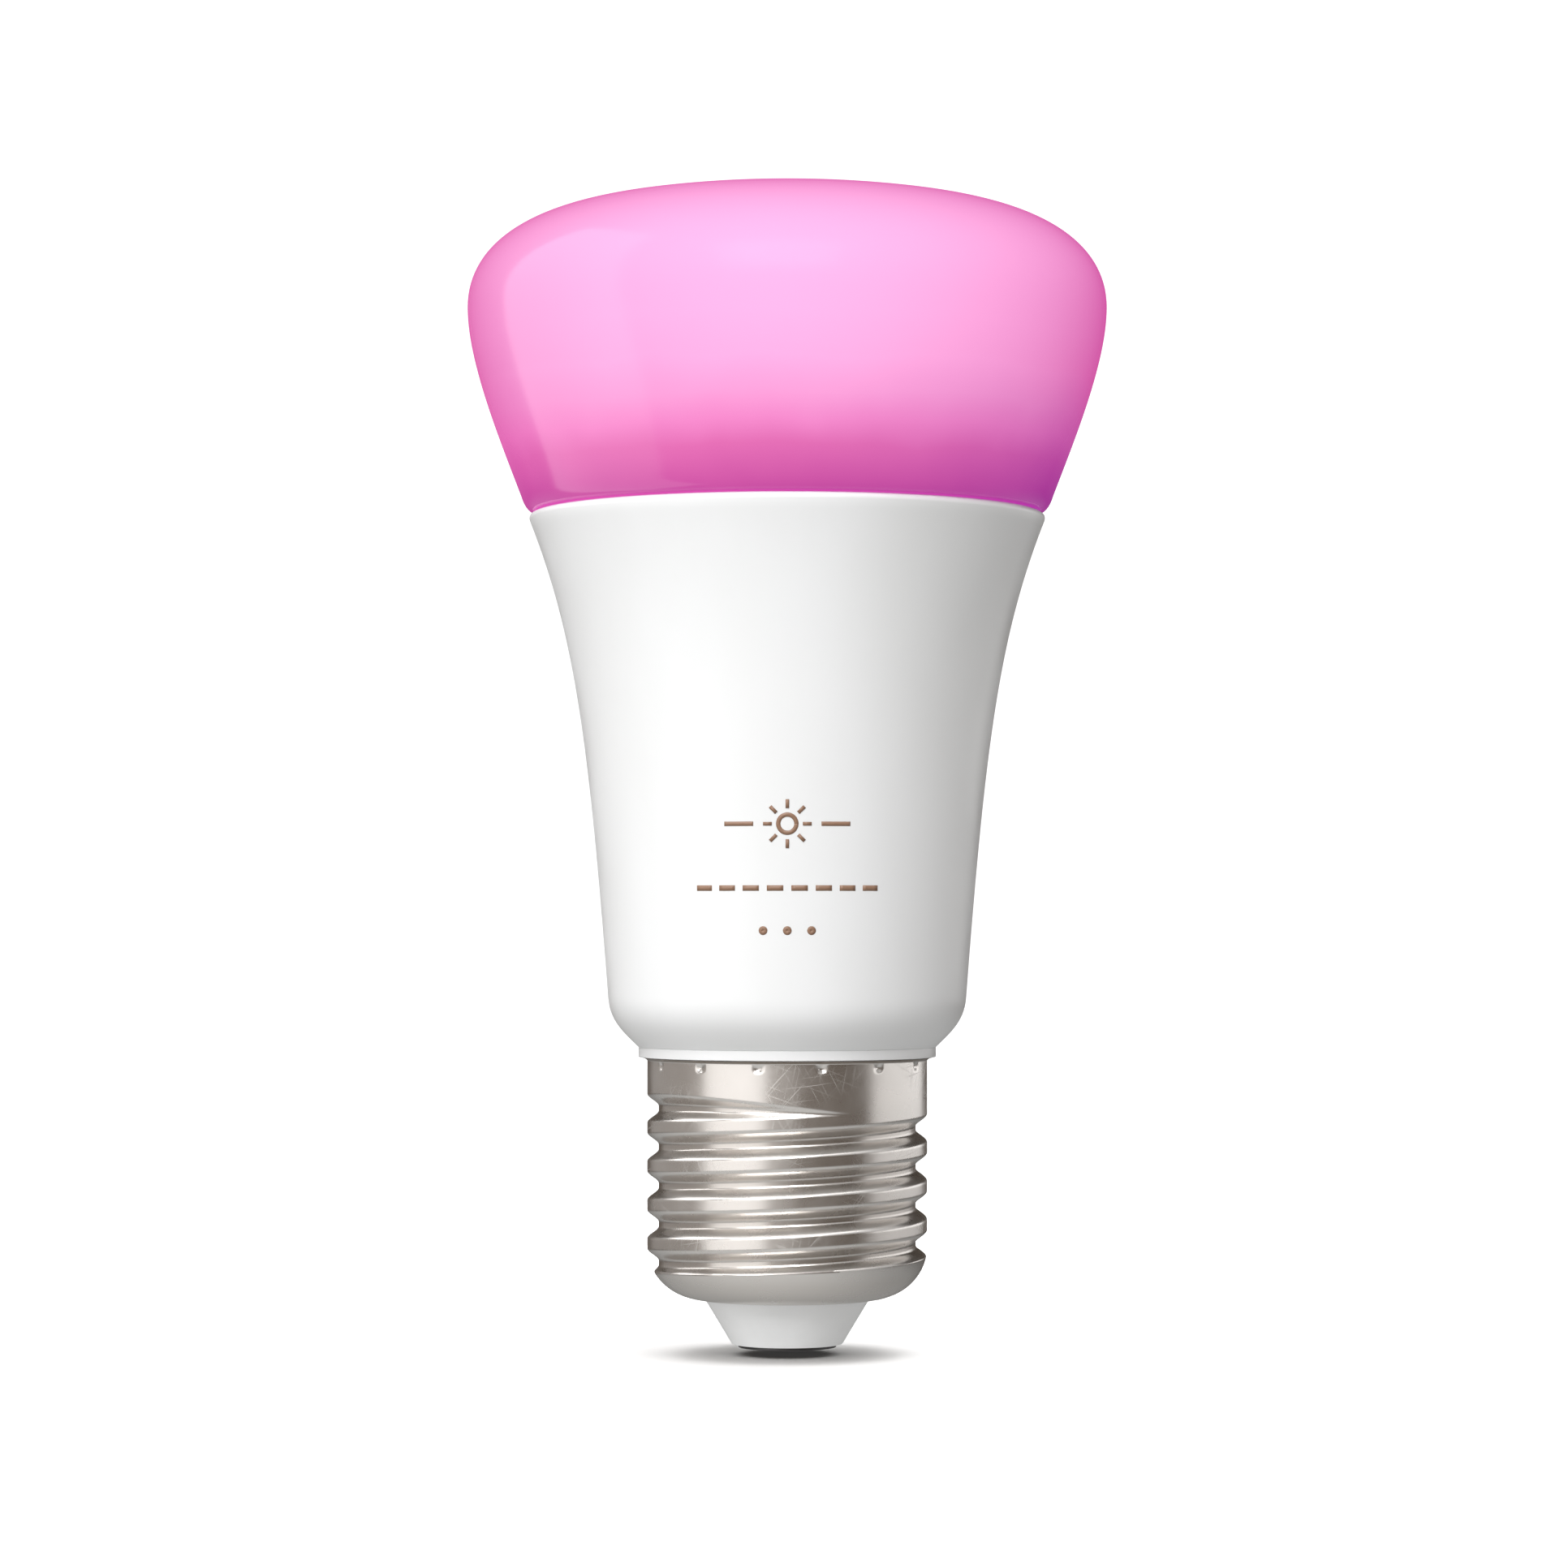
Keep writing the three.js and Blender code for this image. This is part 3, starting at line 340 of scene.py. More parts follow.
class Finish:
    """A new material, with short names for the nodes that feed its one Principled shader."""

    def __init__(self, name, **fixed):
        self.material = bpy.data.materials.new(name)
        self.material.use_nodes = True
        self.tree = self.material.node_tree
        self.shader = self.tree.nodes["Principled BSDF"]
        self.place = self.node("TexCoord", {}, output="Object")
        for socket, value in fixed.items():
            self.shader.inputs[socket].default_value = value
        FINISHES[name] = self.material

    def node(self, kind, inputs, output=0, **settings):
        """A new node's output. An input is either another node's output or a fixed value."""
        made = self.tree.nodes.new("ShaderNode" + kind)
        for key, value in settings.items():
            setattr(made, key, value)
        for key, value in inputs.items():
            if isinstance(value, bpy.types.NodeSocket):
                self.tree.links.new(value, made.inputs[key])
            else:
                made.inputs[key].default_value = value
        return made.outputs[output]

    def feed(self, socket, value):
        self.tree.links.new(value, self.shader.inputs[socket])

    def axis(self, letter, vector=None):
        """One part of the place, or of the vector given."""
        return self.node("SeparateXYZ", {0: vector or self.place}, output=letter)

    def maths(self, operation, first, second=0.0, third=0.0):
        return self.node("Math", {0: first, 1: second, 2: third}, operation=operation)

    def spread(self, value, low, high, to_low=0.0, to_high=1.0, smooth=False):
        """The value carried from one range to another, held at its ends."""
        inputs = {0: value, 1: low, 2: high, 3: to_low, 4: to_high}
        kind = "SMOOTHSTEP" if smooth else "LINEAR"
        return self.node("MapRange", inputs, interpolation_type=kind)

    def noise(self, size, detail=3.0, place=None):
        """Even noise about 0.5, with features of about the given size in metres."""
        inputs = {"Vector": place or self.place, "Scale": 1 / size, "Detail": detail}
        return self.node("TexNoise", inputs)

    def stretched(self, x, y, z, place=None):
        """The place scaled along each axis, for a pattern that runs one way."""
        inputs = {"Vector": place or self.place, "Scale": (x, y, z)}
        return self.node("Mapping", inputs)

    def around(self, radius):
        """The place unrolled from the bulb's axis: metres round it at a radius, depth, height."""
        x, y, z = (self.axis(letter) for letter in "XYZ")
        angle = self.maths("ARCTAN2", y, x)
        length = self.maths("MULTIPLY", angle, radius)
        return self.node("CombineXYZ", {"X": length, "Y": self.depth(), "Z": z})

    def depth(self):
        """Distance from the bulb's axis."""
        flat = self.stretched(1, 1, 0)
        return self.node("VectorMath", {0: flat}, output="Value", operation="LENGTH")

    def scratches(self, place, tilts):
        """Thin straight marks, 1 on a mark and 0 off it, at each tilt in degrees to the first axis
        of an unrolled place."""
        marks = None
        for tilt in tilts:
            aslant = self.node(
                "VectorRotate",
                {"Vector": place, "Axis": (0, 1, 0), "Angle": math.radians(tilt)},
                rotation_type="AXIS_ANGLE",
            )
            drawn_out = self.stretched(0.02, 0, 1, aslant)
            streaks = self.noise(SCRATCH_WIDTH, detail=0, place=drawn_out)
            thin = self.spread(streaks, 0.69, 0.77)
            marks = self.maths("MAXIMUM", marks, thin) if marks else thin
        return marks

    def ramp(self, value, stops):
        """The colour at a value, from (value, colour) stops."""
        made = self.tree.nodes.new("ShaderNodeValToRGB")
        self.tree.links.new(value, made.inputs[0])
        elements = made.color_ramp.elements
        while len(elements) < len(stops):
            elements.new(0.5)
        for element, (position, colour) in zip(elements, stops):
            element.position = position
            element.color = (*colour, 1)
        return made.outputs[0]

    def blend(self, factor, first, second):
        """The first colour where the factor is 0, the second where it is 1."""
        colours = [c if isinstance(c, bpy.types.NodeSocket) else (*c, 1) for c in (first, second)]
        inputs = {0: factor, 6: colours[0], 7: colours[1]}
        return self.node("Mix", inputs, output=2, data_type="RGBA")

    def bump(self, height, distance):
        """The normal over a height that stands for the distance in metres where it is 1."""
        return self.node("Bump", {"Height": height, "Distance": distance, "Strength": 1.0})


def plain(name, colour, roughness, **fixed):
    """A moulded or painted surface: slightly uneven colour, uneven gloss and a fine grain."""
    finish = Finish(name, **fixed)
    patches = finish.noise(5 * MM, detail=4)
    fine = finish.noise(0.4 * MM, detail=2)
    dark = tuple(c * 0.96 for c in colour)
    light = tuple(min(c * 1.04, 1) for c in colour)
    finish.feed("Base Color", finish.blend(finish.spread(patches, 0.3, 0.7), dark, light))
    finish.feed("Roughness", finish.spread(patches, 0.3, 0.7, roughness * 0.85, roughness * 1.15))
    finish.feed("Normal", finish.bump(fine, 4e-6))


def diffuser_finish():
    """Opal plastic lit from inside: deep magenta where the ring of LEDs grazes the foot of the
    wall, milky where the light has mixed, and more violet round one side of the ring. The base
    colour grows paler with height, so that the studio's light adds the milkiness."""
    finish = Finish("diffuser", **{"Specular IOR Level": 0.3})
    height = finish.axis("Z")
    cloud = finish.noise(9 * MM, detail=2)
    drift = finish.spread(cloud, 0.3, 0.7, -0.4 * MM, 0.4 * MM)
    level = finish.spread(finish.maths("ADD", height, drift), DOME_UNDERSIDE, BULB_TOP)
    warm_way = math.radians(-35)
    towards = (math.sin(warm_way), -math.cos(warm_way), 0)
    side = finish.node(
        "VectorMath", {0: finish.place, 1: towards}, output="Value", operation="DOT_PRODUCT"
    )
    warm = finish.ramp(level, [
        (0.00, (0.540, 0.055, 0.330)),
        (0.10, (0.660, 0.082, 0.390)),
        (0.20, (0.740, 0.105, 0.430)),
        (0.40, (0.660, 0.075, 0.370)),
        (1.00, (0.660, 0.080, 0.370)),
    ])
    violet = finish.ramp(level, [
        (0.00, (0.290, 0.016, 0.265)),
        (0.10, (0.370, 0.024, 0.300)),
        (0.20, (0.470, 0.045, 0.330)),
        (0.40, (0.560, 0.032, 0.310)),
        (1.00, (0.580, 0.034, 0.315)),
    ])
    share = finish.spread(side, -0.47 * DOME_RIM[0], DOME_RIM[0])
    finish.feed("Emission Color", finish.blend(share, violet, warm))
    finish.shader.inputs["Emission Strength"].default_value = 1.0
    finish.feed("Base Color", finish.ramp(level, [
        (0.00, (0.045, 0.008, 0.022)),
        (0.13, (0.080, 0.044, 0.047)),
        (0.20, (0.140, 0.105, 0.133)),
        (0.28, (0.207, 0.190, 0.226)),
        (0.38, (0.280, 0.250, 0.305)),
        (0.50, (0.300, 0.265, 0.325)),
        (1.00, (0.300, 0.265, 0.325)),
    ]))
    finish.feed("Roughness", finish.spread(cloud, 0.3, 0.7, 0.13, 0.17))
    finish.feed("Normal", finish.bump(finish.noise(1.3 * MM), 2e-6))


def housing_finish():
    """White gloss plastic with faint moulding flow, a fine spark texture and a few handled spots."""
    finish = Finish("white_plastic", IOR=1.5)
    flow = finish.noise(14 * MM, detail=3, place=finish.stretched(1, 1, 0.3))
    handled = finish.noise(6 * MM, detail=5)
    base = finish.blend(finish.spread(flow, 0.3, 0.7), (0.788, 0.800, 0.806), (0.827, 0.840, 0.852))
    finish.feed("Base Color", base)
    finish.feed("Roughness", finish.spread(handled, 0.35, 0.7, 0.30, 0.42))
    fine = finish.noise(0.35 * MM, detail=2)
    finish.feed("Normal", finish.bump(fine, 3e-6))


def nickel_finish():
    """Smooth nickel-plated sheet, a little cloudy, with fine scratches in patches where it has
    rubbed in its holder, painted shade in its grooves and painted shade along the rolled rim."""
    finish = Finish("nickel", Metallic=1.0)
    cloud = finish.noise(4 * MM, detail=3)
    groove = finish.spread(
        finish.depth(), CREST_RADIUS - THREAD_DEPTH, CREST_RADIUS, 1.0, 0.0, smooth=True
    )
    # Painted shade: the top of the band and the rolled rim above it are painted dark brown.
    rim = finish.spread(finish.axis("Z"), BAND_TOP + 0.02 * MM, BAND_TOP + 0.1 * MM)
    clean = finish.blend(finish.spread(cloud, 0.3, 0.7), (0.68, 0.655, 0.63), (0.73, 0.705, 0.68))
    # Painted shade: the base colour is darker down in the grooves of the thread.
    groove_shaded = finish.blend(groove, clean, (0.64, 0.61, 0.58))
    finish.feed("Base Color", finish.blend(rim, groove_shaded, (0.30, 0.26, 0.225)))
    scratches = finish.scratches(finish.around(CREST_RADIUS), SCRATCH_TILTS)
    rubbed = finish.spread(finish.noise(6 * MM, detail=0), 0.48, 0.6)
    crest = finish.spread(groove, 0.0, 0.04, 1.0, 0.0)
    marks = finish.maths("MULTIPLY", scratches, finish.maths("MULTIPLY", rubbed, crest))
    gloss = finish.spread(cloud, 0.3, 0.7, 0.25, 0.31)
    finish.feed("Roughness", finish.maths("MULTIPLY_ADD", marks, 0.16, gloss))
    ripple = finish.noise(3 * MM, detail=0, place=finish.stretched(0.3, 0.3, 1))
    finish.feed("Normal", finish.bump(ripple, 6e-6))


def contact_finish():
    """The stamped steel disc at the tip, painted dark for the shade it sits in, with turning marks.
    """
    finish = Finish("contact_steel", Metallic=1.0)
    rings = finish.noise(0.25 * MM, detail=3, place=finish.around(4 * MM))
    cloud = finish.noise(2 * MM, detail=4)
    # Painted shade: the steel is coloured near black, standing in for the shade at the tip.
    finish.feed("Base Color", finish.blend(cloud, (0.055, 0.055, 0.056), (0.12, 0.12, 0.124)))
    finish.feed("Roughness", finish.spread(cloud, 0.3, 0.7, 0.30, 0.45))
    finish.feed("Normal", finish.bump(rings, 5e-6))


def ink_finish():
    """Pad-printed brown ink, a little uneven."""
    finish = Finish("ink")
    spots = finish.noise(0.5 * MM, detail=4)
    finish.feed("Base Color", finish.blend(spots, (0.24, 0.135, 0.082), (0.29, 0.170, 0.110)))
    finish.feed("Roughness", finish.spread(spots, 0.3, 0.7, 0.35, 0.5))
    finish.feed("Normal", finish.bump(spots, 2e-6))


def board_finish(name, mask, track):
    """Solder mask over copper tracks, which show through it a little raised and lighter."""
    finish = Finish(name)
    patches = finish.noise(8 * MM, detail=0)
    spacing = {"Vector": finish.place, "Scale": 1 / (3.5 * MM), "Randomness": 0.6}
    cells = finish.node("TexVoronoi", spacing, distance="CHEBYCHEV")
    lanes = finish.maths("PINGPONG", cells, 0.14)
    tracks = finish.spread(lanes, 0.05, 0.08, 1.0, 0.0)
    uneven = finish.blend(patches, tuple(c * 0.92 for c in mask), mask)
    finish.feed("Base Color", finish.blend(tracks, uneven, track))
    finish.feed("Roughness", finish.spread(finish.noise(2 * MM), 0.3, 0.7, 0.3, 0.42))
    finish.feed("Normal", finish.bump(tracks, 2e-5))


def winding_finish():
    """Lacquered copper wire laid in even turns."""
    finish = Finish("copper", Metallic=1.0)
    turns = finish.maths("PINGPONG", finish.axis("Z"), 0.16 * MM)
    cloud = finish.noise(2 * MM)
    finish.feed("Base Color", finish.blend(cloud, (0.62, 0.25, 0.10), (0.80, 0.40, 0.18)))
    finish.feed("Roughness", finish.spread(cloud, 0.3, 0.7, 0.25, 0.38))
    finish.feed("Normal", finish.bump(turns, 1.0))


def can_finish():
    """A capacitor's dark sleeve with a pale stripe down one side and a bare aluminium top."""
    finish = Finish("can_sleeve")
    facing = finish.node("TexCoord", {}, output="Normal")
    top = finish.spread(finish.axis("Z", facing), 0.85, 0.9)
    stripe = finish.spread(finish.axis("X", facing), 0.88, 0.91)
    cloud = finish.noise(3 * MM)
    sleeve = finish.blend(cloud, (0.015, 0.022, 0.060), (0.025, 0.035, 0.085))
    printed = finish.blend(stripe, sleeve, (0.45, 0.47, 0.50))
    finish.feed("Base Color", finish.blend(top, printed, (0.70, 0.71, 0.72)))
    finish.feed("Metallic", top)
    finish.feed("Roughness", finish.spread(cloud, 0.3, 0.7, 0.28, 0.4))
    finish.feed("Normal", finish.bump(finish.noise(0.6 * MM), 3e-6))


def led_finish(name, phosphor):
    """A white package with a round well of phosphor in its upper face."""
    finish = Finish(name)
    facing = finish.node("TexCoord", {}, output="Normal")
    share_of_box = finish.node("TexCoord", {}, output="Generated")
    centred = {"Vector": share_of_box, "Location": (-0.5, -0.5, 0), "Scale": (1, 1, 0)}
    flat = finish.node("Mapping", centred)
    away = finish.node("VectorMath", {0: flat}, output="Value", operation="LENGTH")
    well = finish.spread(away, 0.34, 0.38, 1.0, 0.0)
    lit = finish.maths("MULTIPLY", well, finish.spread(finish.axis("Z", facing), 0.5, 0.6))
    cloud = finish.noise(0.4 * MM)
    filling = finish.blend(cloud, tuple(c * 0.9 for c in phosphor), phosphor)
    finish.feed("Base Color", finish.blend(lit, (0.84, 0.84, 0.81), filling))
    finish.feed("Roughness", finish.spread(cloud, 0.3, 0.7, 0.3, 0.45))
    finish.feed("Normal", finish.bump(well, 3e-5))


diffuser_finish()
housing_finish()
nickel_finish()
contact_finish()
ink_finish()
plain("pale_plastic", (0.91, 0.925, 0.935), 0.45)
plain("aluminium", (0.72, 0.73, 0.74), 0.40, Metallic=1.0)
plain("silicone", (0.80, 0.80, 0.78), 0.55)
plain("thermal_pad", (0.36, 0.46, 0.58), 0.80)
board_finish("white_board", (0.84, 0.84, 0.81), (0.90, 0.90, 0.86))
board_finish("green_board", (0.012, 0.11, 0.04), (0.035, 0.22, 0.085))
plain("black_plastic", (0.025, 0.025, 0.028), 0.45)
plain("ferrite", (0.055, 0.055, 0.060), 0.65)
winding_finish()
plain("film", (0.50, 0.06, 0.035), 0.40)
plain("blue_coating", (0.03, 0.13, 0.36), 0.40)
can_finish()
plain("tin", (0.68, 0.69, 0.70), 0.32, Metallic=1.0)
plain("red_wire", (0.45, 0.03, 0.02), 0.45)
plain("white_wire", (0.76, 0.76, 0.74), 0.45)
led_finish("led_warm", (0.88, 0.55, 0.10))
led_finish("led_cool", (0.88, 0.82, 0.25))
led_finish("led_red", (0.72, 0.20, 0.16))
led_finish("led_green", (0.25, 0.62, 0.22))
led_finish("led_blue", (0.16, 0.30, 0.78))

for subpart in frame["record"]["subparts"]:
    node = frame["nodes"][subpart["node"]]
    node.data.materials.clear()
    node.data.materials.append(FINISHES[subpart["material_slot"]])

# ---- The dome and the housing ------------------------------------------------------------


def dome():
    """The opal diffuser, with the skirt that stands in the housing's pocket."""
    rim = quadratic(DOME_FOOT, DOME_FOOT_HANDLE, DOME_RIM, 8)
    outside = dome_outside(28)
    inside = inset(dome_outside(14), DOME_WALL)
    inside[-1] = (0, BULB_TOP - DOME_WALL)
    bore = SKIRT_RADIUS - SKIRT_WALL
    skirt = [
        (bore, DOME_UNDERSIDE + DOME_WALL / 2),
        (bore, SKIRT_BOTTOM),
        (SKIRT_RADIUS, SKIRT_BOTTOM),
        (SKIRT_RADIUS, DOME_UNDERSIDE),
    ]
    outline = inside[::-1] + skirt + rim[:-1] + outside
    return turned("dome", outline, "diffuser", ["diffuser_dome"])


def housing():
    """The flared white body, open for the liner below and for the dome above."""
    underside = bezier(HOUSING_BOTTOM, *UNDERSIDE_HANDLES, HOUSING_WAIST, 14)
    lip = quadratic(HOUSING_LIP, LIP_HANDLE, LIP_INSIDE, 8)
    inside = [p for p in inset(housing_flank(20), HOUSING_WALL) if p[1] < POCKET_FLOOR]
    floor_top = HOUSING_BOTTOM[1] + HOUSING_WALL
    hole = SLEEVE_RADIUS + CLEARANCE
    outline = [
        (hole, HOUSING_BOTTOM[1]),
        *underside,
        *housing_flank(40)[1:],
        *lip[1:],
        (POCKET_RADIUS, HOUSING_TOP),
        (POCKET_RADIUS, POCKET_FLOOR),
        (inside[-1][0], POCKET_FLOOR),
        *inside[::-1],
        (HOUSING_BOTTOM[0], floor_top),
        (hole, floor_top),
    ]
    return turned("housing_shell", outline, "white_plastic", ["housing"])


def liner():
    """The plastic sleeve round the driver. Its collar is the ring seen over the cap."""
    bore = SLEEVE_RADIUS - LINER_WALL
    neck_bore = NECK_RADIUS - LINER_WALL
    outline = [
        (neck_bore, NECK_BOTTOM),
        (NECK_RADIUS, NECK_BOTTOM),
        (NECK_RADIUS, NECK_TOP),
        (SLEEVE_RADIUS, NECK_TOP),
        (SLEEVE_RADIUS, COLLAR_BOTTOM),
        (COLLAR_RADIUS, COLLAR_BOTTOM),
        (COLLAR_RADIUS, COLLAR_TOP),
        (SLEEVE_RADIUS, COLLAR_TOP),
        (SLEEVE_RADIUS, SLEEVE_TOP),
        (bore, SLEEVE_TOP),
        (bore, NECK_TOP + LINER_WALL),
        (neck_bore, NECK_TOP + LINER_WALL),
    ]
    outline = rounded(outline, LINER_ROUNDING)
    return turned("liner", outline, "white_plastic", ["insulating_liner"])


# ---- The cap -----------------------------------------------------------------------------


def thread_radius(angle, height):
    """Outside radius of the threaded sheet. The groove is followed from its run-out under the
    band down through every turn, its lower edge on one helix."""
    radius = CREST_RADIUS
    turns_to_end = (GROOVE_END_ANGLE - angle) / (2 * math.pi)
    first_turn = math.ceil(-turns_to_end)
    for turn in range(first_turn, first_turn + GROOVE_TURNS):
        turns_back = turns_to_end + turn
        fade = min(turns_back * 2 * math.pi / GROOVE_FADE_ANGLE, 1)
        share = math.sin(fade * math.pi / 2)
        if share <= 0:
            continue
        half_width = GROOVE_HALF_WIDTH * share
        middle = GROOVE_END_EDGE - turns_back * PITCH + half_width
        rise = smoothstep(abs(height - middle) / half_width, GROOVE_FLOOR_SHARE, 1)
        depth = THREAD_DEPTH * share**GROOVE_FADE_POWER * smoothstep(middle, *GROOVE_START)
        radius = min(radius, CREST_RADIUS - depth * (1 - rise))
    return radius


def dimple_depth(angle, height):
    """How far the row of punched dimples under the rim sinks the band."""
    step = 2 * math.pi / DIMPLES
    aside = (angle - FIRST_DIMPLE + step / 2) % step - step / 2
    away = math.hypot(aside * CREST_RADIUS, height - DIMPLE_HEIGHT) / DIMPLE_RADIUS
    return DIMPLE_DEPTH * max(1 - away * away, 0) ** 1.5


def bowl_radius(height, thickness):
    """Radius of the bowl that closes the thread at the bottom, straight up from its widest."""
    drop = min(max(BOWL_CENTRE[1] - height, 0) / (BOWL_DEPTH - thickness), 1)
    return BOWL_CENTRE[0] + (BOWL_REACH - thickness) * math.sqrt(1 - drop * drop)


def shell_radius(angle, height, thickness):
    """The thread and the bowl together, with a soft ridge where they meet."""
    full = CREST_RADIUS - thickness
    thread = CREST_RADIUS - thread_radius(angle, height)
    bowl = full - bowl_radius(height, thickness)
    return full - (thread**RIDGE_POWER + bowl**RIDGE_POWER) ** (1 / RIDGE_POWER)


def shell_side(angle, thickness, rows_to_a_turn, band_steps):
    """One side of the sheet at an angle, from the opening at the bottom up to the rim. In the
    thread its rows climb with the helix, so that they never cross the groove's edges."""
    points = []
    for i in range(BOWL_STEPS):
        tilt = lerp(BOWL_OPENING, BOWL_EDGE, i / BOWL_STEPS)
        height = BOWL_CENTRE[1] + (BOWL_DEPTH - thickness) * math.sin(tilt)
        points.append((shell_radius(angle, height, thickness), height))
    bottom = BOWL_CENTRE[1] + BOWL_DEPTH * math.sin(BOWL_EDGE)
    row_rise = PITCH / rows_to_a_turn
    rows = math.ceil((THREAD_TOP - bottom) / row_rise) + rows_to_a_turn + 1
    start = bottom - PITCH * (1 - angle / (2 * math.pi))
    for i in range(rows):
        height = min(max(start + i * row_rise, bottom), THREAD_TOP)
        points.append((shell_radius(angle, height, thickness), height))
    for i in range(1, band_steps + 1):
        height = lerp(THREAD_TOP, BAND_TOP, i / band_steps)
        points.append((CREST_RADIUS - dimple_depth(angle, height) - thickness, height))
    flare = quadratic(
        (CREST_RADIUS - thickness, BAND_TOP),
        (CREST_RADIUS + RIM_FLARE - thickness, RIM_TOP - RIM_FLARE),
        (RIM_RADIUS - thickness, RIM_TOP),
        RIM_STEPS,
    )
    return points + flare[1:]


def screw_shell():
    """The rolled cap. Its last column lies on its first, a turn of rows further up the helix, and
    is welded to it."""
    vertices = []
    rows = 0
    for i in range(CAP_SIDES + 1):
        angle = 2 * math.pi * i / CAP_SIDES
        outside = shell_side(angle, 0, rows_to_a_turn=36, band_steps=26)
        inside = shell_side(angle, SHEET, rows_to_a_turn=10, band_steps=4)
        loop = outside + inside[::-1]
        rows = len(loop)
        vertices += [(r * math.cos(angle), r * math.sin(angle), z) for r, z in loop]
    faces = grid_faces(CAP_SIDES + 1, rows, closed_rows=True, closed_columns=False)
    return piece("screw_cap_shell", vertices, faces, "nickel", ["screw_shell"], weld=True)


def cap_insulator():
    """The pale cone between shell and contact, with the flange that the shell is rolled round."""
    bottom = CONTACT_THICKNESS
    flange_radius, flange_bottom, flange_top = FLANGE
    outline = [
        (CONE_BORE, bottom),
        (CONE_BOTTOM, bottom),
        CONE_TOP,
        (CONE_TOP[0], flange_bottom),
        (flange_radius, flange_bottom),
        (flange_radius, flange_top),
        INSULATOR_TOP,
        (CONE_BORE, INSULATOR_TOP[1]),
    ]
    outline = rounded(outline, CONE_ROUNDING)
    return turned("insulating_cone", outline, "pale_plastic", ["cap_insulator"], sides=CONE_SIDES)


def centre_contact():
    """The disc at the tip and the stem that holds it in the cone."""
    outline = [
        (0, 0),
        (CONTACT_RADIUS, 0),
        (CONTACT_RADIUS, CONTACT_THICKNESS),
        (STEM_RADIUS, CONTACT_THICKNESS),
        (STEM_RADIUS, STEM_TOP),
        (0, STEM_TOP),
    ]
    outline = rounded(outline, CONTACT_ROUNDING)
    return turned("contact_disc", outline, "contact_steel", ["centre_contact"], sides=CONE_SIDES)


# ---- Print on the housing ----------------------------------------------------------------


def wrapped(name, patches):
    """Thin ink on the front of the housing. Each patch is a grid of (along, height) points."""
    vertices = []
    faces = []
    for patch in patches:
        first = len(vertices)
        columns = len(patch[0])
        for along, height in (point for row in patch for point in row):
            radius = housing_radius(height) + PRINT_LIFT
            angle = along / radius
            vertices.append((radius * math.sin(angle), -radius * math.cos(angle), height))
        for j in range(len(patch) - 1):
            for i in range(columns - 1):
                a = first + j * columns + i
                faces.append((a, a + 1, a + columns + 1, a + columns))
    made = piece(name, vertices, faces, "ink")
    thickness = made.modifiers.new("thickness", "SOLIDIFY")
    thickness.thickness = PRINT_THICKNESS
    thickness.offset = -1
    return made


def bar(x_1, x_2, z_1, z_2, steps=16):
    """A patch between two places along the housing and two heights."""
    return [[(lerp(x_1, x_2, i / steps), z) for i in range(steps + 1)] for z in (z_1, z_2)]


def ring(x, z, inner, outer, steps=48):
    """A patch between two circles about one middle."""
    rows = []
    for radius in (inner, outer):
        angles = [-2 * math.pi * i / steps for i in range(steps + 1)]
        rows.append([(x + radius * math.cos(a), z + radius * math.sin(a)) for a in angles])
    return rows


def sun_mark():
    """A plain sun between two bars, where the housing carries its main print."""
    patches = [ring(0, SUN_HEIGHT, *SUN_RING)]
    centre = Vector((0, SUN_HEIGHT))
    for i in range(SUN_RAYS):
        angle = 2 * math.pi * i / SUN_RAYS
        out = Vector((math.cos(angle), math.sin(angle)))
        side = Vector((-out.y, out.x)) * RAY_HALF_WIDTH
        near, far = (centre + out * reach for reach in RAY_REACH)
        patches.append([[near + side, far + side], [near - side, far - side]])
    bottom, top = SUN_HEIGHT - BAR_HALF_HEIGHT, SUN_HEIGHT + BAR_HALF_HEIGHT
    for side in (-1, 1):
        left, right = sorted(side * reach for reach in BAR_REACH)
        patches.append(bar(left, right, bottom, top))
    return wrapped("printed_sun", patches)


def dashes_mark():
    """A row of dashes below the sun."""
    start = -(DASHES * DASH_LENGTH + (DASHES - 1) * DASH_GAP) / 2
    patches = []
    for i in range(DASHES):
        left = start + i * (DASH_LENGTH + DASH_GAP)
        patches.append(bar(left, left + DASH_LENGTH, *DASH_HEIGHTS, steps=4))
    return wrapped("printed_dashes", patches)


def dots_mark():
    """Three dots below the dashes."""
    places = (-DOT_SPACING, 0, DOT_SPACING)
    return wrapped("printed_dots", [ring(x, DOT_HEIGHT, *DOT_RING, steps=24) for x in places])


dome_piece = dome()
body_pieces = [
    housing(), liner(), screw_shell(), cap_insulator(), centre_contact(),
    sun_mark(), dashes_mark(), dots_mark(),
]

# ---- Floor, light and camera -------------------------------------------------------------

FLOOR_RADIUS = 0.3
FLOOR_GAP = 0.7 * MM  # under the tip
STAGE_SIDES = 64
BACKDROP_RADIUS = 0.8
FLOOR_LAMPS = 8
FLOOR_LIGHT = 1.65
FLOOR_LIGHT_TILT = 0.25  # brighter on the camera's right
WORLD_GLOW = (  # (sine of the height above the horizon, colour)
    (-1.0, (0.76, 0.76, 0.75)),
    (-0.4, (0.61, 0.61, 0.60)),
    (-0.2, (0.30, 0.29, 0.28)),
    (-0.1, (0.14, 0.105, 0.08)),
    (0.1, (0.13, 0.10, 0.075)),
    (1.0, (0.04, 0.04, 0.04)),
)
BRIGHT_SIDE = (-0.57, -0.82, 0)
GLOW_STRENGTH = (0.5, 1.2)  # away from the bright side, and towards it
LIGHT_AIM = Vector((0, 0, 60 * MM))
CAMERA_PLACE = Vector((-0.23 * MM, -430 * MM, 40.6 * MM))
CAMERA_AIM = Vector((-0.3 * MM, 0, 52.85 * MM))
LENS = 104.8  # in millimetres, as the sensor is
SENSOR_WIDTH = 36


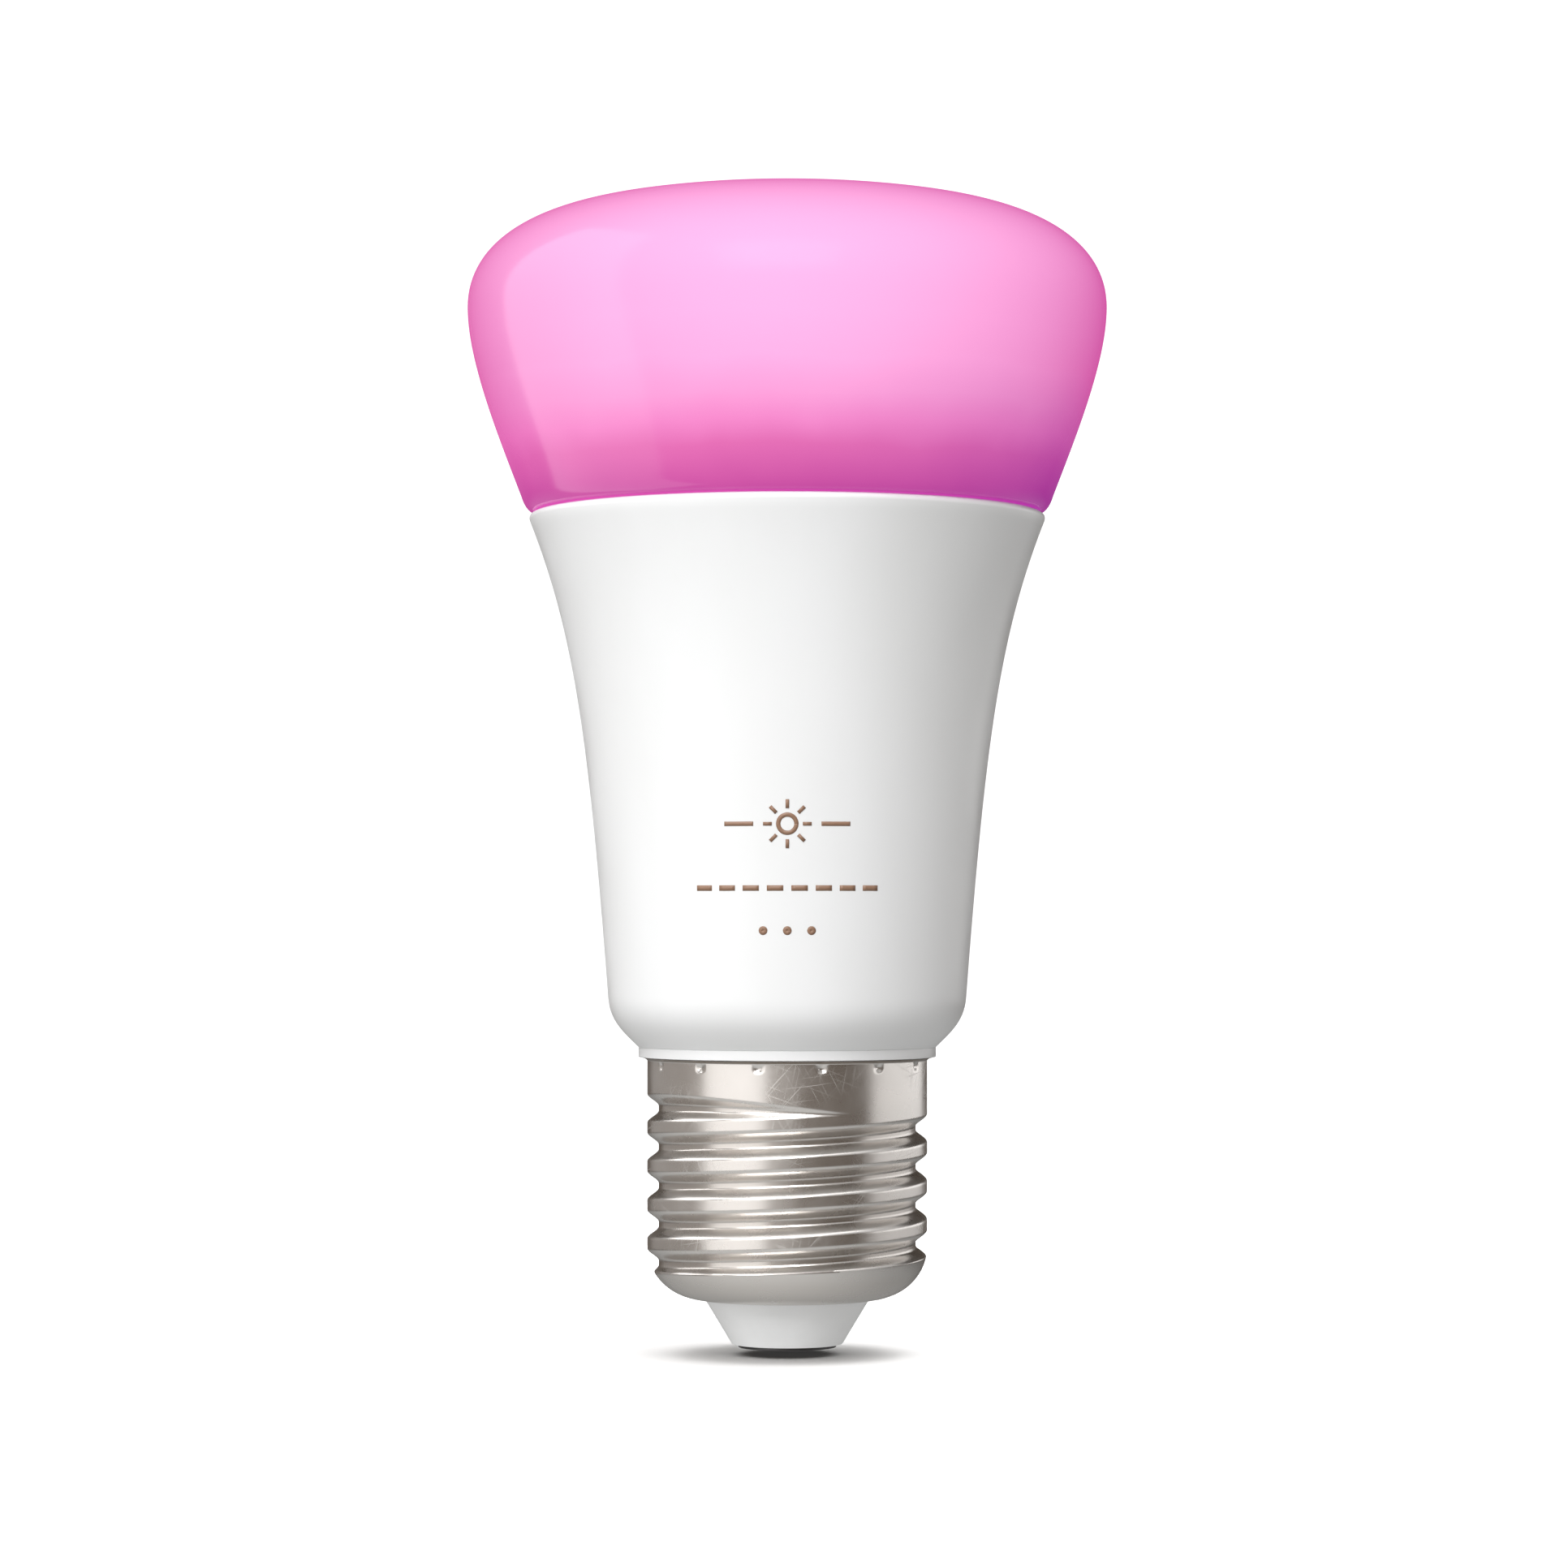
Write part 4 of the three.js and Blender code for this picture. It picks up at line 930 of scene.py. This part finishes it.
def stage_finish(name, grey, emission):
    """A matt grey that can glow white."""
    material = bpy.data.materials.new(name)
    material.use_nodes = True
    shader = material.node_tree.nodes["Principled BSDF"]
    shader.inputs["Base Color"].default_value = (grey, grey, grey, 1)
    shader.inputs["Roughness"].default_value = 1.0
    shader.inputs["Specular IOR Level"].default_value = 0.0
    shader.inputs["Emission Color"].default_value = (1, 1, 1, 1)
    shader.inputs["Emission Strength"].default_value = emission
    return material


def stage_object(name, vertices, faces, material):
    """A mesh that belongs to the studio and not to the bulb."""
    mesh = bpy.data.meshes.new(name)
    mesh.from_pydata(vertices, [], faces)
    mesh.materials.append(material)
    made = bpy.data.objects.new(name, mesh)
    bpy.context.scene.collection.objects.link(made)
    return made


def circle(radius, height):
    """Corners of a level polygon round the axis."""
    corners = []
    for i in range(STAGE_SIDES):
        angle = 2 * math.pi * i / STAGE_SIDES
        corners.append((radius * math.cos(angle), radius * math.sin(angle), height))
    return corners


def floor():
    """A pale round floor just under the tip. Only the camera sees it, and what it would throw
    back up at the bulb comes from the lower half of the surroundings."""
    rim = circle(FLOOR_RADIUS, -FLOOR_GAP)
    face = tuple(range(STAGE_SIDES))
    made = stage_object("floor", rim, [face], stage_finish("floor", 0.9, 0))
    made.visible_diffuse = False
    made.visible_glossy = False
    made.visible_shadow = False
    return made


def backdrop():
    """A white drum round, over and under the floor, seen by the camera alone."""
    sides = STAGE_SIDES
    bottom, top = -2 * FLOOR_GAP, BACKDROP_RADIUS
    vertices = circle(BACKDROP_RADIUS, bottom) + circle(BACKDROP_RADIUS, top)
    faces = [(i, (i + 1) % sides, sides + (i + 1) % sides, sides + i) for i in range(sides)]
    faces += [tuple(range(sides)), tuple(range(sides, 2 * sides))]
    made = stage_object("backdrop", vertices, faces, stage_finish("backdrop", 0, 1.2))
    for ray in ("diffuse", "glossy", "transmission", "volume_scatter", "shadow"):
        setattr(made, "visible_" + ray, False)


def surroundings():
    """Dim brown light from above the horizon and the floor's own pale light from below it, both
    stronger on one side."""
    world = bpy.data.worlds.new("studio")
    world.use_nodes = True
    tree = world.node_tree
    place = tree.nodes.new("ShaderNodeTexCoord")
    split = tree.nodes.new("ShaderNodeSeparateXYZ")
    share = tree.nodes.new("ShaderNodeMapRange")
    ramp = tree.nodes.new("ShaderNodeValToRGB")
    tree.links.new(place.outputs["Generated"], split.inputs[0])
    tree.links.new(split.outputs["Z"], share.inputs["Value"])
    share.inputs["From Min"].default_value = -1
    tree.links.new(share.outputs[0], ramp.inputs[0])
    elements = ramp.color_ramp.elements
    while len(elements) < len(WORLD_GLOW):
        elements.new(0.5)
    for element, (rise, glow) in zip(elements, WORLD_GLOW):
        element.position = (rise + 1) / 2
        element.color = (*glow, 1)
    background = tree.nodes["Background"]
    tree.links.new(ramp.outputs[0], background.inputs["Color"])
    side = tree.nodes.new("ShaderNodeVectorMath")
    side.operation = "DOT_PRODUCT"
    tree.links.new(place.outputs["Generated"], side.inputs[0])
    side.inputs[1].default_value = BRIGHT_SIDE
    strength = tree.nodes.new("ShaderNodeMapRange")
    tree.links.new(side.outputs["Value"], strength.inputs["Value"])
    strength.inputs["From Min"].default_value = -1
    strength.inputs["To Min"].default_value = GLOW_STRENGTH[0]
    strength.inputs["To Max"].default_value = GLOW_STRENGTH[1]
    tree.links.new(strength.outputs[0], background.inputs["Strength"])
    bpy.context.scene.world = world


def soft_light(name, azimuth, elevation, width, height, radiance, lit, glossy=True, diffuse=True):
    """A soft light a metre away, aimed at the bulb, that falls on the pieces given. Its azimuth in
    degrees is 0 at the camera and grows to the right of it."""
    shape = bpy.data.lights.new(name, "AREA")
    shape.shape = "RECTANGLE"
    shape.size = width
    shape.size_y = height
    shape.energy = radiance * math.pi * width * height
    made = bpy.data.objects.new(name, shape)
    bpy.context.scene.collection.objects.link(made)
    a, e = math.radians(azimuth), math.radians(elevation)
    out = Vector((math.sin(a) * math.cos(e), -math.cos(a) * math.cos(e), math.sin(e)))
    made.location = LIGHT_AIM + out
    made.rotation_mode = "QUATERNION"
    made.rotation_quaternion = out.to_track_quat("Z", "Y")
    made.visible_camera = False
    made.visible_glossy = glossy
    made.visible_diffuse = diffuse
    receivers = bpy.data.collections.new("lit_by_" + name)
    for piece_lit in lit:
        receivers.objects.link(piece_lit)
    made.light_linking.receiver_collection = receivers


def photo_camera():
    """The camera that took the photograph, as near as the bulb's outlines tell."""
    camera = bpy.data.cameras.new("camera")
    camera.lens = LENS
    camera.sensor_width = SENSOR_WIDTH
    camera.clip_start = 0.01
    made = bpy.data.objects.new("camera", camera)
    bpy.context.scene.collection.objects.link(made)
    made.location = CAMERA_PLACE
    made.rotation_mode = "QUATERNION"
    made.rotation_quaternion = (CAMERA_AIM - CAMERA_PLACE).to_track_quat("-Z", "Y")
    bpy.context.scene.camera = made


floor_piece = floor()
backdrop()
surroundings()
photo_camera()
bpy.context.scene.view_settings.view_transform = "Standard"

# Name, azimuth, elevation, width, height, radiance and the pieces that each one falls on.
for lamp in range(FLOOR_LAMPS):
    around = 360 * lamp / FLOOR_LAMPS
    radiance = FLOOR_LIGHT + FLOOR_LIGHT_TILT * math.sin(math.radians(around))
    soft_light(f"floor_lamp_{lamp}", around, 62, 0.8, 0.8, radiance, [floor_piece])
soft_light("key", -15, 40, 0.9, 0.65, 6.5, body_pieces)
soft_light("window", -44.5, 5, 1.06, 0.65, 1.25, body_pieces)
soft_light("window_edge", -3, 5, 0.35, 0.65, 0.22, body_pieces, diffuse=False)
soft_light("left_card", -112, 5, 1.5, 0.5, 0.28, body_pieces, diffuse=False)
soft_light("overhead", 75, 50, 1.8, 1.1, 0.55, body_pieces, diffuse=False)
soft_light("zenith", -30, 80, 1.5, 1.4, 1.0, body_pieces, diffuse=False)
soft_light("left_rear", -105, 38, 0.8, 0.6, 2.4, body_pieces)
soft_light("right_card", 109, 5, 1.5, 0.4, 1.25, body_pieces)
soft_light("top", 90, 76, 0.5, 0.5, 0.7, body_pieces)
soft_light("back_fill", 180, 25, 1.2, 0.7, 2.6, body_pieces, glossy=False)
soft_light("dome_key", -3, 26, 0.7, 0.6, 12.5, [dome_piece], glossy=False)
soft_light("dome_card", -90, -5, 1.15, 3.2, 1.6, [dome_piece], diffuse=False)
